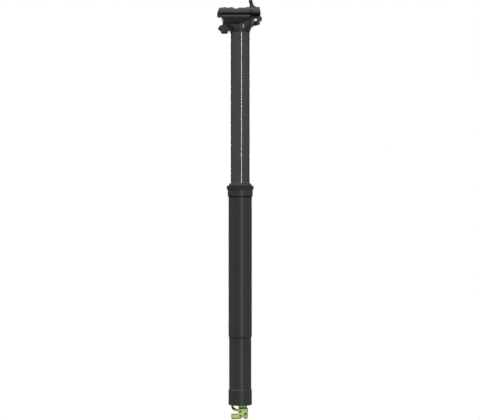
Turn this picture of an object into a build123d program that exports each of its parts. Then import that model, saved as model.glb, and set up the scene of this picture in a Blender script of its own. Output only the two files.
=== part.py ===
from build123d import *

import os
from math import atan2, cos, degrees, hypot, radians, sin, sqrt

# A cable-operated dropper seatpost at full height. Lengths are in millimetres.
# Z runs up the post, and Z = 0 is the underside of the collar, where the post stops in a seat tube.
# +X is the rear of the bicycle and -X the front; the post is the same left and right of Y = 0.

os.makedirs("parts", exist_ok=True)

# Fits
seat_gap = 0.02  # between pieces fixed to each other
running_gap = 0.05  # between a sliding or turning piece and its bore
turning_gap = 0.2  # between forms that swing past each other
overrun = 2.0  # how far a cut passes the face that it opens

# Stroke of the post
travel = 200.0
top_reserve = 2.5  # stanchion left showing when the post is down
bottom_reserve = 0.2
overlap = 58.0  # stanchion below the collar when the post is up

# Outer tube, from the outside in
tube_outer_d = 31.6
step_depth = 0.8
reduced_wall = 1.2
reduced_length = 69.5
step_bevel = 0.8
top_neck_depth = 0.6
top_neck_length = 9.0
low_neck_depth = 0.4
low_neck_length = 10.2

# Sliding fit of the stanchion
bushing_wall = 0.73
bushing_length = 28.0
bushing_split = 1.6
lower_bushing_length = 18.0
lower_bushing_sink = 0.3
stanchion_wall = 2.0
bumper_sink = 0.5
bumper_height = 3.2
bumper_side_gap = 0.1
bumper_stop_gap = 0.3
ring_spacing = 0.6

# Guide keys
key_count = 3
key_first_angle = 90
key_width = 4.0
key_height = 11.5
key_sink = 1.0
key_stand = 0.5
key_side_gap = 0.1
key_foot = 3.0
groove_foot = 1.2

# Collar and wiper
collar_bevel = 1.3
collar_bevel_depth = 0.8
collar_stand = 1.2
collar_body_height = 8.1
ridge_height = 5.3
ridge_stand = 1.0
ridge_round = 0.5
collar_shoulder = 0.8
collar_shoulder_stand = 0.3
wiper_plug_wall = 2.0
wiper_flange = 0.5
wiper_height = 3.3
wiper_lip = 0.4
wiper_root = 0.8

# Bottom cap and bumper
cap_bevel = 1.7
cap_floor = 8.1
cap_recess = 3.4
cap_rim = 2.6
cap_round = 1.2
foot_bumper_height = 9.6
foot_bumper_wall = 3.6
foot_bumper_sink = 0.2

# Gas cartridge
cartridge_air = 1.0
cartridge_wall = 0.7
oil_gap = 1.9
sleeve_wall = 0.6
rod_d = 8.0
rod_bore_gap = 0.1
rod_anchor_d = 16.0
rod_anchor_height = 4.0
rod_stud_d = 12.0
rod_seat_depth = 5.6
gland_height = 12.0
gland_lift = 3.0
rod_seal_wall = 1.6
rod_seal_height = 3.0
piston_height = 10.0
piston_lift = 0.5
piston_seal_height = 2.4
piston_seal_wall = 0.9
piston_slack = 0.15
floating_height = 8.0
floating_lift = 13.0
top_cap_plug = 10.0
top_cap_flange = 2.0
top_stud_d = 8.0
top_stud_length = 13.0
foot_ring_height = 6.0
foot_ring_inset = 1.0

# Valve pin
valve_pin_d = 2.0
valve_pin_bore_d = 1.4
valve_pin_foot = 4.0
valve_pin_top_inset = 1.5
valve_contact_gap = 0.05

# Head, measured along X and up from the head's lower edge
spigot_length = 30.0
saddle_centre_x = -8.0
saddle_low_h = 10.7
saddle_r = 31.5
saddle_front_angle = radians(21.4)
saddle_rear_angle = radians(45.85)
saddle_half_width = 12.0
saddle_corner = 7.0
flare_low_h = 2.5
flare_high_h = 9.5
head_top_h = 24.0
front_lug_reach = 8.6
front_lug_bottom_drop = 0.4
front_lug_height = 7.5
front_lug_half_width = 7.5
front_lug_corner = 5.5
front_lug_fillet = 3.4
rear_lug_reach = 7.7
rear_lug_top_lift = 7.5
rear_lug_half_width = 8.0
rear_lug_corner = 3.0
rear_seat_reach = 6.9
rear_window_low = 1.4
rear_window_length = 4.3
rear_window_width = 4.2
rear_pocket_depth = 4.1
rear_cheek_reach = 3.6
rear_cheek_depth = 3.3
head_edge = 0.8

# Clamp bolts, washers and barrel nuts
bolt_d = 5.0
bolt_head_d = 9.2
bolt_head_height = 3.5
bolt_head_edge = 0.6
bolt_seat_gap = 0.15
bolt_hole_gap = 0.3
bolt_head_swing = 1.3
bolt_head_lift = 1.2
socket_across = 4.0
socket_depth = 2.2
washer_r = 4.8
washer_half_length = 5.5
washer_seat_gap = 0.1
washer_slack = 0.7
front_bolt_x = -21.2
front_seat_h = 2.5
front_nut_reach = 27.4
front_nut_r = 4.0
front_bolt_tip = 3.8
front_slot_swing = 1.9
front_mouth_swing = 1.5
rear_seat_x = 21.5
rear_seat_h = 13.7
rear_lean = radians(14.6)
rear_nut_reach = 15.4
rear_nut_r = 4.5
rear_bolt_tip = 16.0
rear_slot_swing = 2.1
nut_half_length = 6.5
nut_pocket_gap = 0.1
nut_boss_low_r = 3.9
nut_boss_top_r = 3.2
nut_boss_height = 8.6

# Rail clamp
rail_d = 7.0
rail_half_spacing = 22.0
rail_h = 22.5
clamp_half_width = 27.0
clamp_slit = 1.9
slit_above_rail = 0.6
cradle_top_front_x = -24.5
cradle_top_rear_x = 11.8
cradle_nose_x = -25.4
cradle_nose_drop = 2.6
cradle_chin_x = -23.7
cradle_chin_rise = 0.9
cradle_side_height = 2.4
cradle_keel_half_width = 13.0
cradle_trough_half_width = 14.0
cradle_trough_floor_rise = 6.7
cradle_trough_end = 4.0
front_fork_end = 2.8
rear_notch_depth = 3.0
plate_thickness = 8.0
plate_shoulder = 5.0
plate_web_rise = 2.1
plate_web_half_width = 14.5
plate_front_x = -31.1
plate_front_slope = 2.7
plate_front_round = 1.4
plate_rear_x = 27.3
plate_rear_slope = 1.2
plate_lip_x = -14.4
plate_lip_rise = 0.8
plate_dip_front_x = -9.4
plate_dip_rear_x = -2.2
plate_dip_slope = 1.6
plate_dip_depth = 1.3
plate_block_x = 7.8
plate_block_rise = 2.4
plate_block_half_width = 10.5
spine_half_width = 9.5
spine_drop = 0.9
spine_rise = 0.6
front_nut_wall = 1.7
rear_nut_wall = 2.0
front_floor_swing = 3.9
rear_floor_swing = 1.8
rear_mouth_half = 6.1

# Actuator under the cap
carrier_neck_front_x = -2.6
carrier_neck_rear_x = 8.9
carrier_neck_height = 3.1
carrier_neck_half_width = 5.2
carrier_blind_floor = 0.5
carrier_ear_front_x = 4.4
carrier_ear_rear_x = 10.5
carrier_ear_drop = 18.7
carrier_ear_half_width = 2.8
carrier_ear_round = 2.2
hook_front_x = -12.1
hook_thickness = 2.3
hook_tip_x = -2.6
hook_root_drop = 1.2
hook_low_drop = 7.9
hook_half_width = 2.6
hook_wire_d = 2.2
lever_pivot_x = 7.1
lever_pivot_drop = 11.6
lever_pin_d = 2.8
lever_cheek_gap = 0.3
lever_cheek_wall = 1.8
lever_hub_r = 2.4
lever_top_drop = 4.6
lever_top_slope = 1.2
lever_front_x = -3.2
lever_bottom_drop = 18.8
lever_heel_x = 0.9
lever_knee_x = 3.4
lever_knee_rise = 3.0
foot_front_x = -12.1
foot_height = 6.3
ferrule_x = -7.5
ferrule_d = 5.1
ferrule_depth = 4.2
ferrule_wire_d = 2.2
wire_slot_width = 1.5
push_pin_drop = 8.7
push_pin_d = 2.2
push_roller_d = 4.0
spacer_pin_drop = 14.4
pin_recess = 0.5
spring_pin_x = 7.0
spring_pin_rise = 1.1
spring_pin_d = 1.8
spring_pin_wall = 0.45
spring_pin_slot = 0.3

# Radii that follow from the walls above
tube_r = tube_outer_d / 2
reduced_r = tube_r - step_depth
bore_r = reduced_r - reduced_wall
stanchion_r = bore_r - seat_gap - bushing_wall - running_gap
stanchion_bore_r = stanchion_r - stanchion_wall
top_neck_r = tube_r - top_neck_depth
low_neck_r = reduced_r - low_neck_depth
key_top_r = bore_r + key_stand
groove_r = key_top_r + key_side_gap
collar_r = tube_r + collar_stand
ridge_r = collar_r + ridge_stand
cartridge_r = stanchion_bore_r - cartridge_air
cartridge_bore_r = cartridge_r - cartridge_wall
sleeve_r = cartridge_bore_r - oil_gap
sleeve_bore_r = sleeve_r - sleeve_wall
rod_r = rod_d / 2
valve_pin_r = valve_pin_d / 2
rod_bore_r = valve_pin_r + rod_bore_gap
bolt_r = bolt_d / 2

# Heights that follow from the stroke
insert_length = overlap + travel + bottom_reserve
step_z = reduced_length - insert_length
cap_top_z = -insert_length
floor_top_z = cap_top_z - low_neck_length
floor_low_z = floor_top_z - cap_floor
cap_low_z = floor_low_z - cap_recess
ridge_low_z = collar_bevel + collar_body_height
ridge_top_z = ridge_low_z + ridge_height
wiper_top_z = ridge_top_z + wiper_height
head_z = wiper_top_z + top_reserve + travel
stanchion_low_z = -overlap
key_low_z = stanchion_low_z + key_foot
key_top_z = key_low_z + key_height
lower_bushing_low_z = key_top_z + ring_spacing
lower_bushing_top_z = lower_bushing_low_z + lower_bushing_length
bushing_low_z = top_neck_length - bushing_length
bumper_top_z = bushing_low_z - bumper_stop_gap
bumper_low_z = bumper_top_z - bumper_height
gland_low_z = stanchion_low_z + gland_lift
gland_top_z = gland_low_z + gland_height
piston_low_z = gland_top_z + piston_lift
piston_top_z = piston_low_z + piston_height
spigot_low_z = head_z - spigot_length
cartridge_top_z = spigot_low_z - top_cap_flange
sleeve_top_z = cartridge_top_z - top_cap_plug
disc_low_z = cap_low_z


def ring(inner_r, outer_r, low, high):
    """A plain ring round the post axis."""
    with BuildPart() as piece:
        with BuildSketch(Plane.XY.offset(low)):
            Circle(outer_r)
            Circle(inner_r, mode=Mode.SUBTRACT)
        extrude(amount=high - low)
    return piece


def turned(points):
    """A profile of radius and height turned round the post axis."""
    with BuildPart() as piece:
        with BuildSketch(Plane.XZ):
            with BuildLine():
                Polyline(*points, close=True)
            make_face()
        revolve(axis=Axis.Z)
    return piece


def cross_pin(x, z, radius, half_length):
    """A pin that lies across the post at x and z."""
    with BuildPart() as piece:
        with BuildSketch(Plane.XZ):
            with Locations((x, z)):
                Circle(radius)
        extrude(amount=half_length, both=True)
    return piece


# Outer tube: the full-size stretch, the reduced foot and a threaded neck at each end
with BuildPart() as outer_tube:
    with BuildSketch(Plane.XZ):
        with BuildLine():
            Polyline(
                (bore_r, floor_top_z),
                (low_neck_r, floor_top_z),
                (low_neck_r, cap_top_z),
                (reduced_r, cap_top_z),
                (reduced_r, step_z),
                (tube_r, step_z + step_bevel),
                (tube_r, 0),
                (top_neck_r, 0),
                (top_neck_r, top_neck_length),
                (bore_r, top_neck_length),
                close=True,
            )
        make_face()
    revolve(axis=Axis.Z)
    with BuildSketch(Plane.XY.offset(cap_top_z + groove_foot)):
        with PolarLocations(0, key_count, start_angle=key_first_angle):
            Rectangle(groove_r, key_width + 2 * key_side_gap, align=(Align.MIN, Align.CENTER))
        Circle(bore_r - overrun, mode=Mode.SUBTRACT)
    extrude(amount=top_neck_length - cap_top_z, mode=Mode.SUBTRACT)
outer_tube.part.label = "outer_tube"
export_step(outer_tube.part, "parts/outer_tube.step")

# Collar that screws on the top neck and holds the bushing and the wiper
shoulder_low_z = top_neck_length + seat_gap
shoulder_top_z = shoulder_low_z + collar_shoulder
pocket_r = stanchion_r + wiper_plug_wall
with BuildPart() as collar:
    with BuildSketch(Plane.XZ):
        with BuildLine():
            Polyline(
                (top_neck_r + seat_gap, 0),
                (collar_r - collar_bevel_depth, 0),
                (collar_r, collar_bevel),
                (collar_r, ridge_low_z),
                (ridge_r, ridge_low_z),
                (ridge_r, ridge_top_z),
                (pocket_r, ridge_top_z),
                (pocket_r, shoulder_top_z),
                (stanchion_r + collar_shoulder_stand, shoulder_top_z),
                (stanchion_r + collar_shoulder_stand, shoulder_low_z),
                (top_neck_r + seat_gap, shoulder_low_z),
                close=True,
            )
        make_face()
    revolve(axis=Axis.Z)
    ridge_edges = collar.edges().filter_by(GeomType.CIRCLE).sort_by(SortBy.RADIUS)[-2:]
    fillet(ridge_edges, ridge_round)
collar.part.label = "collar"
export_step(collar.part, "parts/collar.step")

# Wiper: a rubber plug in the collar's pocket with a cone that closes on the stanchion
wiper_bore_r = stanchion_r + running_gap
wiper_seal = turned(
    [
        (wiper_bore_r, shoulder_top_z + seat_gap),
        (pocket_r - seat_gap, shoulder_top_z + seat_gap),
        (pocket_r - seat_gap, ridge_top_z + seat_gap),
        (pocket_r + wiper_flange, ridge_top_z + seat_gap),
        (pocket_r + wiper_flange, ridge_top_z + wiper_root),
        (wiper_bore_r + wiper_lip, wiper_top_z),
        (wiper_bore_r, wiper_top_z),
    ]
)
wiper_seal.part.label = "wiper_seal"
export_step(wiper_seal.part, "parts/wiper_seal.step")

# Upper bushing, split down one side
with BuildPart() as upper_bushing:
    with BuildSketch(Plane.XY.offset(bushing_low_z)):
        Circle(bore_r - seat_gap)
        Circle(stanchion_r + running_gap, mode=Mode.SUBTRACT)
        Rectangle(bore_r, bushing_split, align=(Align.MAX, Align.CENTER), mode=Mode.SUBTRACT)
    extrude(amount=bushing_length)
upper_bushing.part.label = "upper_bushing"
export_step(upper_bushing.part, "parts/upper_bushing.step")

# Bottom cap, screwed on the low neck
with BuildPart() as bottom_cap:
    with BuildSketch(Plane.XZ):
        with BuildLine():
            Polyline(
                (rod_stud_d / 2 + seat_gap, floor_top_z),
                (rod_stud_d / 2 + seat_gap, floor_low_z),
                (tube_r - cap_rim, floor_low_z),
                (tube_r - cap_rim, cap_low_z),
                (tube_r, cap_low_z),
                (tube_r, cap_top_z - cap_bevel),
                (reduced_r, cap_top_z),
                (low_neck_r + seat_gap, cap_top_z),
                (low_neck_r + seat_gap, floor_top_z),
                close=True,
            )
        make_face()
    revolve(axis=Axis.Z)
    rim_edges = bottom_cap.edges().filter_by(GeomType.CIRCLE).group_by(Axis.Z)[0]
    fillet(rim_edges.sort_by(SortBy.RADIUS)[-1], cap_round)
bottom_cap.part.label = "bottom_cap"
export_step(bottom_cap.part, "parts/bottom_cap.step")

# Rubber ring on the cap's floor, which the stanchion meets when it is down
foot_bumper_r = bore_r - foot_bumper_sink
foot_bumper = ring(foot_bumper_r - foot_bumper_wall, foot_bumper_r, floor_top_z,
                   floor_top_z + foot_bumper_height)
foot_bumper.part.label = "foot_bumper"
export_step(foot_bumper.part, "parts/foot_bumper.step")

# Rod anchor, whose stud passes the cap's floor and carries the actuator
stud_low_z = disc_low_z + carrier_blind_floor
rod_low_z = floor_top_z - rod_seat_depth
rod_anchor = turned(
    [
        (rod_bore_r, stud_low_z),
        (rod_stud_d / 2, stud_low_z),
        (rod_stud_d / 2, floor_top_z),
        (rod_anchor_d / 2, floor_top_z),
        (rod_anchor_d / 2, floor_top_z + rod_anchor_height),
        (rod_r + seat_gap, floor_top_z + rod_anchor_height),
        (rod_r + seat_gap, rod_low_z),
        (rod_bore_r, rod_low_z),
    ]
)
rod_anchor.part.label = "rod_anchor"
export_step(rod_anchor.part, "parts/rod_anchor.step")

# Hollow rod of the gas cartridge, with its piston and seal
cartridge_rod = ring(rod_bore_r, rod_r, rod_low_z, piston_top_z)
cartridge_rod.part.label = "cartridge_rod"
export_step(cartridge_rod.part, "parts/cartridge_rod.step")

piston_r = sleeve_bore_r - piston_slack
seal_low_z = (piston_low_z + piston_top_z - piston_seal_height) / 2
seal_top_z = seal_low_z + piston_seal_height
rod_piston = turned(
    [
        (rod_r + seat_gap, piston_low_z),
        (piston_r, piston_low_z),
        (piston_r, seal_low_z),
        (piston_r - piston_seal_wall, seal_low_z),
        (piston_r - piston_seal_wall, seal_top_z),
        (piston_r, seal_top_z),
        (piston_r, piston_top_z),
        (rod_r + seat_gap, piston_top_z),
    ]
)
rod_piston.part.label = "rod_piston"
export_step(rod_piston.part, "parts/rod_piston.step")

piston_seal = ring(piston_r - piston_seal_wall + seat_gap, sleeve_bore_r - running_gap,
                   seal_low_z + seat_gap, seal_top_z - seat_gap)
piston_seal.part.label = "piston_seal"
export_step(piston_seal.part, "parts/piston_seal.step")

# Stanchion with grooves for its bushing and bumper, and pockets for the keys
with BuildPart() as stanchion:
    with BuildSketch(Plane.XZ):
        with BuildLine():
            Polyline(
                (stanchion_bore_r, stanchion_low_z),
                (stanchion_r, stanchion_low_z),
                (stanchion_r, lower_bushing_low_z),
                (stanchion_r - lower_bushing_sink, lower_bushing_low_z),
                (stanchion_r - lower_bushing_sink, lower_bushing_top_z),
                (stanchion_r, lower_bushing_top_z),
                (stanchion_r, bumper_low_z),
                (stanchion_r - bumper_sink, bumper_low_z),
                (stanchion_r - bumper_sink, bumper_top_z),
                (stanchion_r, bumper_top_z),
                (stanchion_r, head_z),
                (stanchion_bore_r, head_z),
                close=True,
            )
        make_face()
    revolve(axis=Axis.Z)
    with BuildSketch(Plane.XY.offset(key_low_z)):
        with PolarLocations(stanchion_r - key_sink, key_count, start_angle=key_first_angle):
            Rectangle(key_sink + overrun, key_width, align=(Align.MIN, Align.CENTER))
    extrude(amount=key_height, mode=Mode.SUBTRACT)
stanchion.part.label = "stanchion"
export_step(stanchion.part, "parts/stanchion.step")

# Brass keys that stop the stanchion turning
with BuildPart() as guide_keys:
    with BuildSketch(Plane.XY.offset(key_low_z + seat_gap)):
        with PolarLocations(stanchion_r - key_sink + seat_gap, key_count, start_angle=key_first_angle):
            Rectangle(
                key_top_r - stanchion_r + key_sink - seat_gap,
                key_width - 2 * seat_gap,
                align=(Align.MIN, Align.CENTER),
            )
    extrude(amount=key_height - 2 * seat_gap)
guide_keys.part.label = "guide_keys"
export_step(guide_keys.part, "parts/guide_keys.step")

# Lower bushing, which snaps in the stanchion's groove and slides in the outer tube
with BuildPart() as lower_bushing:
    with BuildSketch(Plane.XY.offset(lower_bushing_low_z + seat_gap)):
        Circle(bore_r - running_gap)
        Circle(stanchion_r - lower_bushing_sink + seat_gap, mode=Mode.SUBTRACT)
        Rectangle(bore_r, bushing_split, align=(Align.MIN, Align.CENTER), mode=Mode.SUBTRACT)
    extrude(amount=lower_bushing_length - 2 * seat_gap)
lower_bushing.part.label = "lower_bushing"
export_step(lower_bushing.part, "parts/lower_bushing.step")

# Rubber ring that meets the upper bushing when the post is up
top_bumper = ring(stanchion_r - bumper_sink + seat_gap, bore_r - bumper_side_gap,
                  bumper_low_z + seat_gap, bumper_top_z - seat_gap)
top_bumper.part.label = "top_bumper"
export_step(top_bumper.part, "parts/top_bumper.step")

# Cartridge: outer body, inner sleeve, gland with rod seal, and the plug that hangs it from the head
cartridge_body = ring(cartridge_bore_r, cartridge_r, gland_low_z, cartridge_top_z)
cartridge_body.part.label = "cartridge_body"
export_step(cartridge_body.part, "parts/cartridge_body.step")

cartridge_sleeve = ring(sleeve_bore_r, sleeve_r, gland_top_z, sleeve_top_z)
cartridge_sleeve.part.label = "cartridge_sleeve"
export_step(cartridge_sleeve.part, "parts/cartridge_sleeve.step")

rod_seal_low_z = gland_top_z - rod_seal_height
rod_seal_r = rod_r + rod_seal_wall
cartridge_gland = turned(
    [
        (rod_r + running_gap, gland_low_z),
        (cartridge_bore_r - seat_gap, gland_low_z),
        (cartridge_bore_r - seat_gap, gland_top_z),
        (rod_seal_r + seat_gap, gland_top_z),
        (rod_seal_r + seat_gap, rod_seal_low_z),
        (rod_r + running_gap, rod_seal_low_z),
    ]
)
cartridge_gland.part.label = "cartridge_gland"
export_step(cartridge_gland.part, "parts/cartridge_gland.step")

rod_seal = ring(rod_r + running_gap, rod_seal_r, rod_seal_low_z + seat_gap, gland_top_z)
rod_seal.part.label = "rod_seal"
export_step(rod_seal.part, "parts/rod_seal.step")

cartridge_plug = turned(
    [
        (0, sleeve_top_z),
        (cartridge_bore_r - seat_gap, sleeve_top_z),
        (cartridge_bore_r - seat_gap, cartridge_top_z),
        (cartridge_r, cartridge_top_z),
        (cartridge_r, spigot_low_z),
        (top_stud_d / 2, spigot_low_z),
        (top_stud_d / 2, spigot_low_z + top_stud_length),
        (0, spigot_low_z + top_stud_length),
    ]
)
cartridge_plug.part.label = "cartridge_plug"
export_step(cartridge_plug.part, "parts/cartridge_plug.step")

# Ring that centres the cartridge in the stanchion's foot
foot_ring_low_z = gland_low_z + foot_ring_inset
centring_ring = ring(cartridge_r + seat_gap, stanchion_bore_r - seat_gap, foot_ring_low_z,
                     foot_ring_low_z + foot_ring_height)
centring_ring.part.label = "centring_ring"
export_step(centring_ring.part, "parts/centring_ring.step")

# Floating piston between the oil and the gas, in the gap round the sleeve
floating_low_z = gland_top_z + floating_lift
floating_piston = ring(sleeve_r + running_gap, cartridge_bore_r - running_gap, floating_low_z,
                       floating_low_z + floating_height)
floating_piston.part.label = "floating_piston"
export_step(floating_piston.part, "parts/floating_piston.step")

# Places of the clamp's bolts and nuts, and of the centre that the saddle tilts about
front_seat = Vector(front_bolt_x, 0, head_z + front_seat_h)
rear_seat = Vector(rear_seat_x, 0, head_z + rear_seat_h)
rear_along = Vector(-sin(rear_lean), 0, cos(rear_lean))
rear_across = Vector(cos(rear_lean), 0, sin(rear_lean))
front_plane = Plane(origin=front_seat, x_dir=(1, 0, 0), z_dir=(0, 0, 1))
rear_plane = Plane(origin=rear_seat, x_dir=rear_across, z_dir=rear_along)
front_nut_at = front_seat + Vector(0, 0, front_nut_reach)
rear_nut_at = rear_seat + rear_along * rear_nut_reach
tilt_z = head_z + saddle_low_h + saddle_r
rail_z = head_z + rail_h


def arc_z(x, radius):
    """Height of the saddle arc of that radius at x."""
    return tilt_z - sqrt(radius**2 - (x - saddle_centre_x) ** 2)


# Head: a neck that flares into the curved saddle, a front lug and a leaning rear lug
saddle_front_x = saddle_centre_x - saddle_r * sin(saddle_front_angle)
saddle_rear_x = saddle_centre_x + saddle_r * sin(saddle_rear_angle)
front_lug_x = front_bolt_x - front_lug_reach
front_lug_low_z = front_seat.Z - front_lug_bottom_drop
front_lug_top_z = front_lug_low_z + front_lug_height
rear_lug_x = rear_seat.X + rear_lug_reach
rear_lug_top_z = rear_seat.Z + rear_lug_top_lift
pocket_half = bolt_head_d / 2 + bolt_head_swing
pocket_left = rear_seat - rear_across * pocket_half
pocket_foot = pocket_left - rear_along * rear_pocket_depth
cheek_top = rear_seat - rear_across * rear_cheek_reach
cheek_toe = cheek_top - rear_along * rear_cheek_depth
rear_heel = rear_seat + rear_across * rear_seat_reach
fillet_knee = front_lug_fillet * sqrt(2) / 2
sweep_mid_share = (0.33, 0.6)
nose_slope_share = 0.5
lug_round_share = 0.35
with BuildPart() as head:
    with BuildSketch(Plane.XY.offset(spigot_low_z)):
        Circle(stanchion_bore_r - seat_gap)
        Circle(top_stud_d / 2 + seat_gap, mode=Mode.SUBTRACT)
    extrude(amount=spigot_length)
    with BuildSketch(Plane.XY.offset(head_z)):
        Circle(stanchion_r)
    extrude(amount=head_top_h)
    with BuildSketch(Plane.XY.offset(head_z + flare_low_h)):
        Circle(stanchion_r)
    with BuildSketch(Plane.XY.offset(head_z + flare_high_h)):
        with Locations(((saddle_front_x + saddle_rear_x) / 2, 0)):
            RectangleRounded(saddle_rear_x - saddle_front_x, 2 * saddle_half_width, saddle_corner)
    loft()
    with BuildSketch(Plane.XY.offset(head_z + flare_high_h)):
        with Locations(((saddle_front_x + saddle_rear_x) / 2, 0)):
            RectangleRounded(saddle_rear_x - saddle_front_x, 2 * saddle_half_width, saddle_corner)
    extrude(amount=head_top_h - flare_high_h)
    with BuildSketch(Plane.XY.offset(head_z)) as lugs:
        with Locations((front_lug_x, 0)):
            Rectangle(-front_lug_x, 2 * front_lug_half_width, align=(Align.MIN, Align.CENTER))
        fillet(lugs.vertices().group_by(Axis.X)[0], front_lug_corner)
        with Locations((rear_lug_x, 0)):
            Rectangle(rear_lug_x, 2 * rear_lug_half_width, align=(Align.MAX, Align.CENTER))
        fillet(lugs.vertices().group_by(Axis.X)[-1], rear_lug_corner)
    extrude(amount=head_top_h)
    with BuildSketch(Plane.XZ):
        with BuildLine():
            Polyline(
                (-stanchion_bore_r, spigot_low_z),
                (stanchion_bore_r, spigot_low_z),
                (stanchion_bore_r, head_z),
                (stanchion_r, head_z),
            )
            ThreePointArc(
                (stanchion_r, head_z),
                (
                    stanchion_r + (pocket_foot.X - stanchion_r) * sweep_mid_share[0],
                    head_z + (pocket_foot.Z - head_z) * sweep_mid_share[1],
                ),
                (pocket_foot.X, pocket_foot.Z),
            )
            Polyline(
                (pocket_foot.X, pocket_foot.Z),
                (cheek_toe.X, cheek_toe.Z),
                (cheek_top.X, cheek_top.Z),
                (rear_heel.X, rear_heel.Z),
                (rear_lug_x, rear_heel.Z + lug_round_share * rear_lug_corner),
                (rear_lug_x, rear_lug_top_z - lug_round_share * rear_lug_corner),
                (rear_lug_x - lug_round_share * rear_lug_corner, rear_lug_top_z),
                (saddle_rear_x + rear_lug_corner, rear_lug_top_z),
                (saddle_rear_x, arc_z(saddle_rear_x, saddle_r)),
            )
            ThreePointArc(
                (saddle_rear_x, arc_z(saddle_rear_x, saddle_r)),
                (saddle_centre_x, tilt_z - saddle_r),
                (saddle_front_x, arc_z(saddle_front_x, saddle_r)),
            )
            Polyline(
                (saddle_front_x, arc_z(saddle_front_x, saddle_r)),
                (
                    saddle_front_x + (front_bolt_x - bolt_head_d / 2 - saddle_front_x) * nose_slope_share,
                    (arc_z(saddle_front_x, saddle_r) + front_lug_top_z) / 2 - head_edge,
                ),
                (front_bolt_x - bolt_head_d / 2, front_lug_top_z),
                (front_lug_x + lug_round_share * front_lug_half_width, front_lug_top_z - head_edge),
                (front_lug_x, front_lug_top_z - front_lug_fillet),
                (front_lug_x, front_lug_low_z + lug_round_share * front_lug_height),
                (front_lug_x + lug_round_share * front_lug_half_width, front_lug_low_z),
                (-stanchion_r - front_lug_fillet, front_lug_low_z),
            )
            ThreePointArc(
                (-stanchion_r - front_lug_fillet, front_lug_low_z),
                (
                    -stanchion_r - front_lug_fillet + fillet_knee,
                    front_lug_low_z - front_lug_fillet + fillet_knee,
                ),
                (-stanchion_r, head_z),
            )
            Polyline(
                (-stanchion_r, head_z),
                (-stanchion_bore_r, head_z),
                (-stanchion_bore_r, spigot_low_z),
            )
        make_face()
    extrude(amount=stanchion_r + overrun, both=True, mode=Mode.INTERSECT)
    # Front lug: bolt slot, washer seat and the clear space for the bolt's head
    with BuildSketch(Plane.XY.offset(front_seat.Z)):
        with Locations((front_bolt_x + front_slot_swing / 2, 0)):
            SlotOverall(bolt_d + 2 * bolt_hole_gap + front_slot_swing, bolt_d + 2 * bolt_hole_gap)
    extrude(amount=head_top_h, mode=Mode.SUBTRACT)
    with BuildSketch(front_plane.offset(bolt_head_lift)):
        Circle(pocket_half)
    extrude(amount=-front_lug_height, mode=Mode.SUBTRACT)
    with BuildSketch(Plane.XZ):
        with Locations((front_seat.X, front_seat.Z)):
            Circle(washer_r + washer_seat_gap)
    extrude(amount=washer_half_length + washer_seat_gap, both=True, mode=Mode.SUBTRACT)
    # Rear lug: the same on its leaning axis, and a window through both cheeks
    with BuildSketch(rear_plane):
        with Locations((rear_slot_swing / 2, 0)):
            SlotOverall(bolt_d + 2 * bolt_hole_gap + rear_slot_swing, bolt_d + 2 * bolt_hole_gap)
    extrude(amount=rear_lug_top_lift + overrun, mode=Mode.SUBTRACT)
    with BuildSketch(rear_plane.offset(bolt_head_lift)):
        Circle(pocket_half)
    extrude(amount=-rear_lug_top_lift, mode=Mode.SUBTRACT)
    with BuildSketch(Plane.XZ):
        with Locations((rear_seat.X, rear_seat.Z)):
            Circle(washer_r + washer_seat_gap)
    extrude(amount=washer_half_length + washer_seat_gap, both=True, mode=Mode.SUBTRACT)
    window_at = rear_seat + rear_along * (rear_window_low + rear_window_length / 2)
    with BuildSketch(Plane.XZ):
        with Locations((window_at.X, window_at.Z)):
            SlotOverall(rear_window_length, rear_window_width, rotation=90 + degrees(rear_lean))
    extrude(amount=stanchion_r, both=True, mode=Mode.SUBTRACT)
head.part.label = "head"
export_step(head.part, "parts/head.step")

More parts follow.
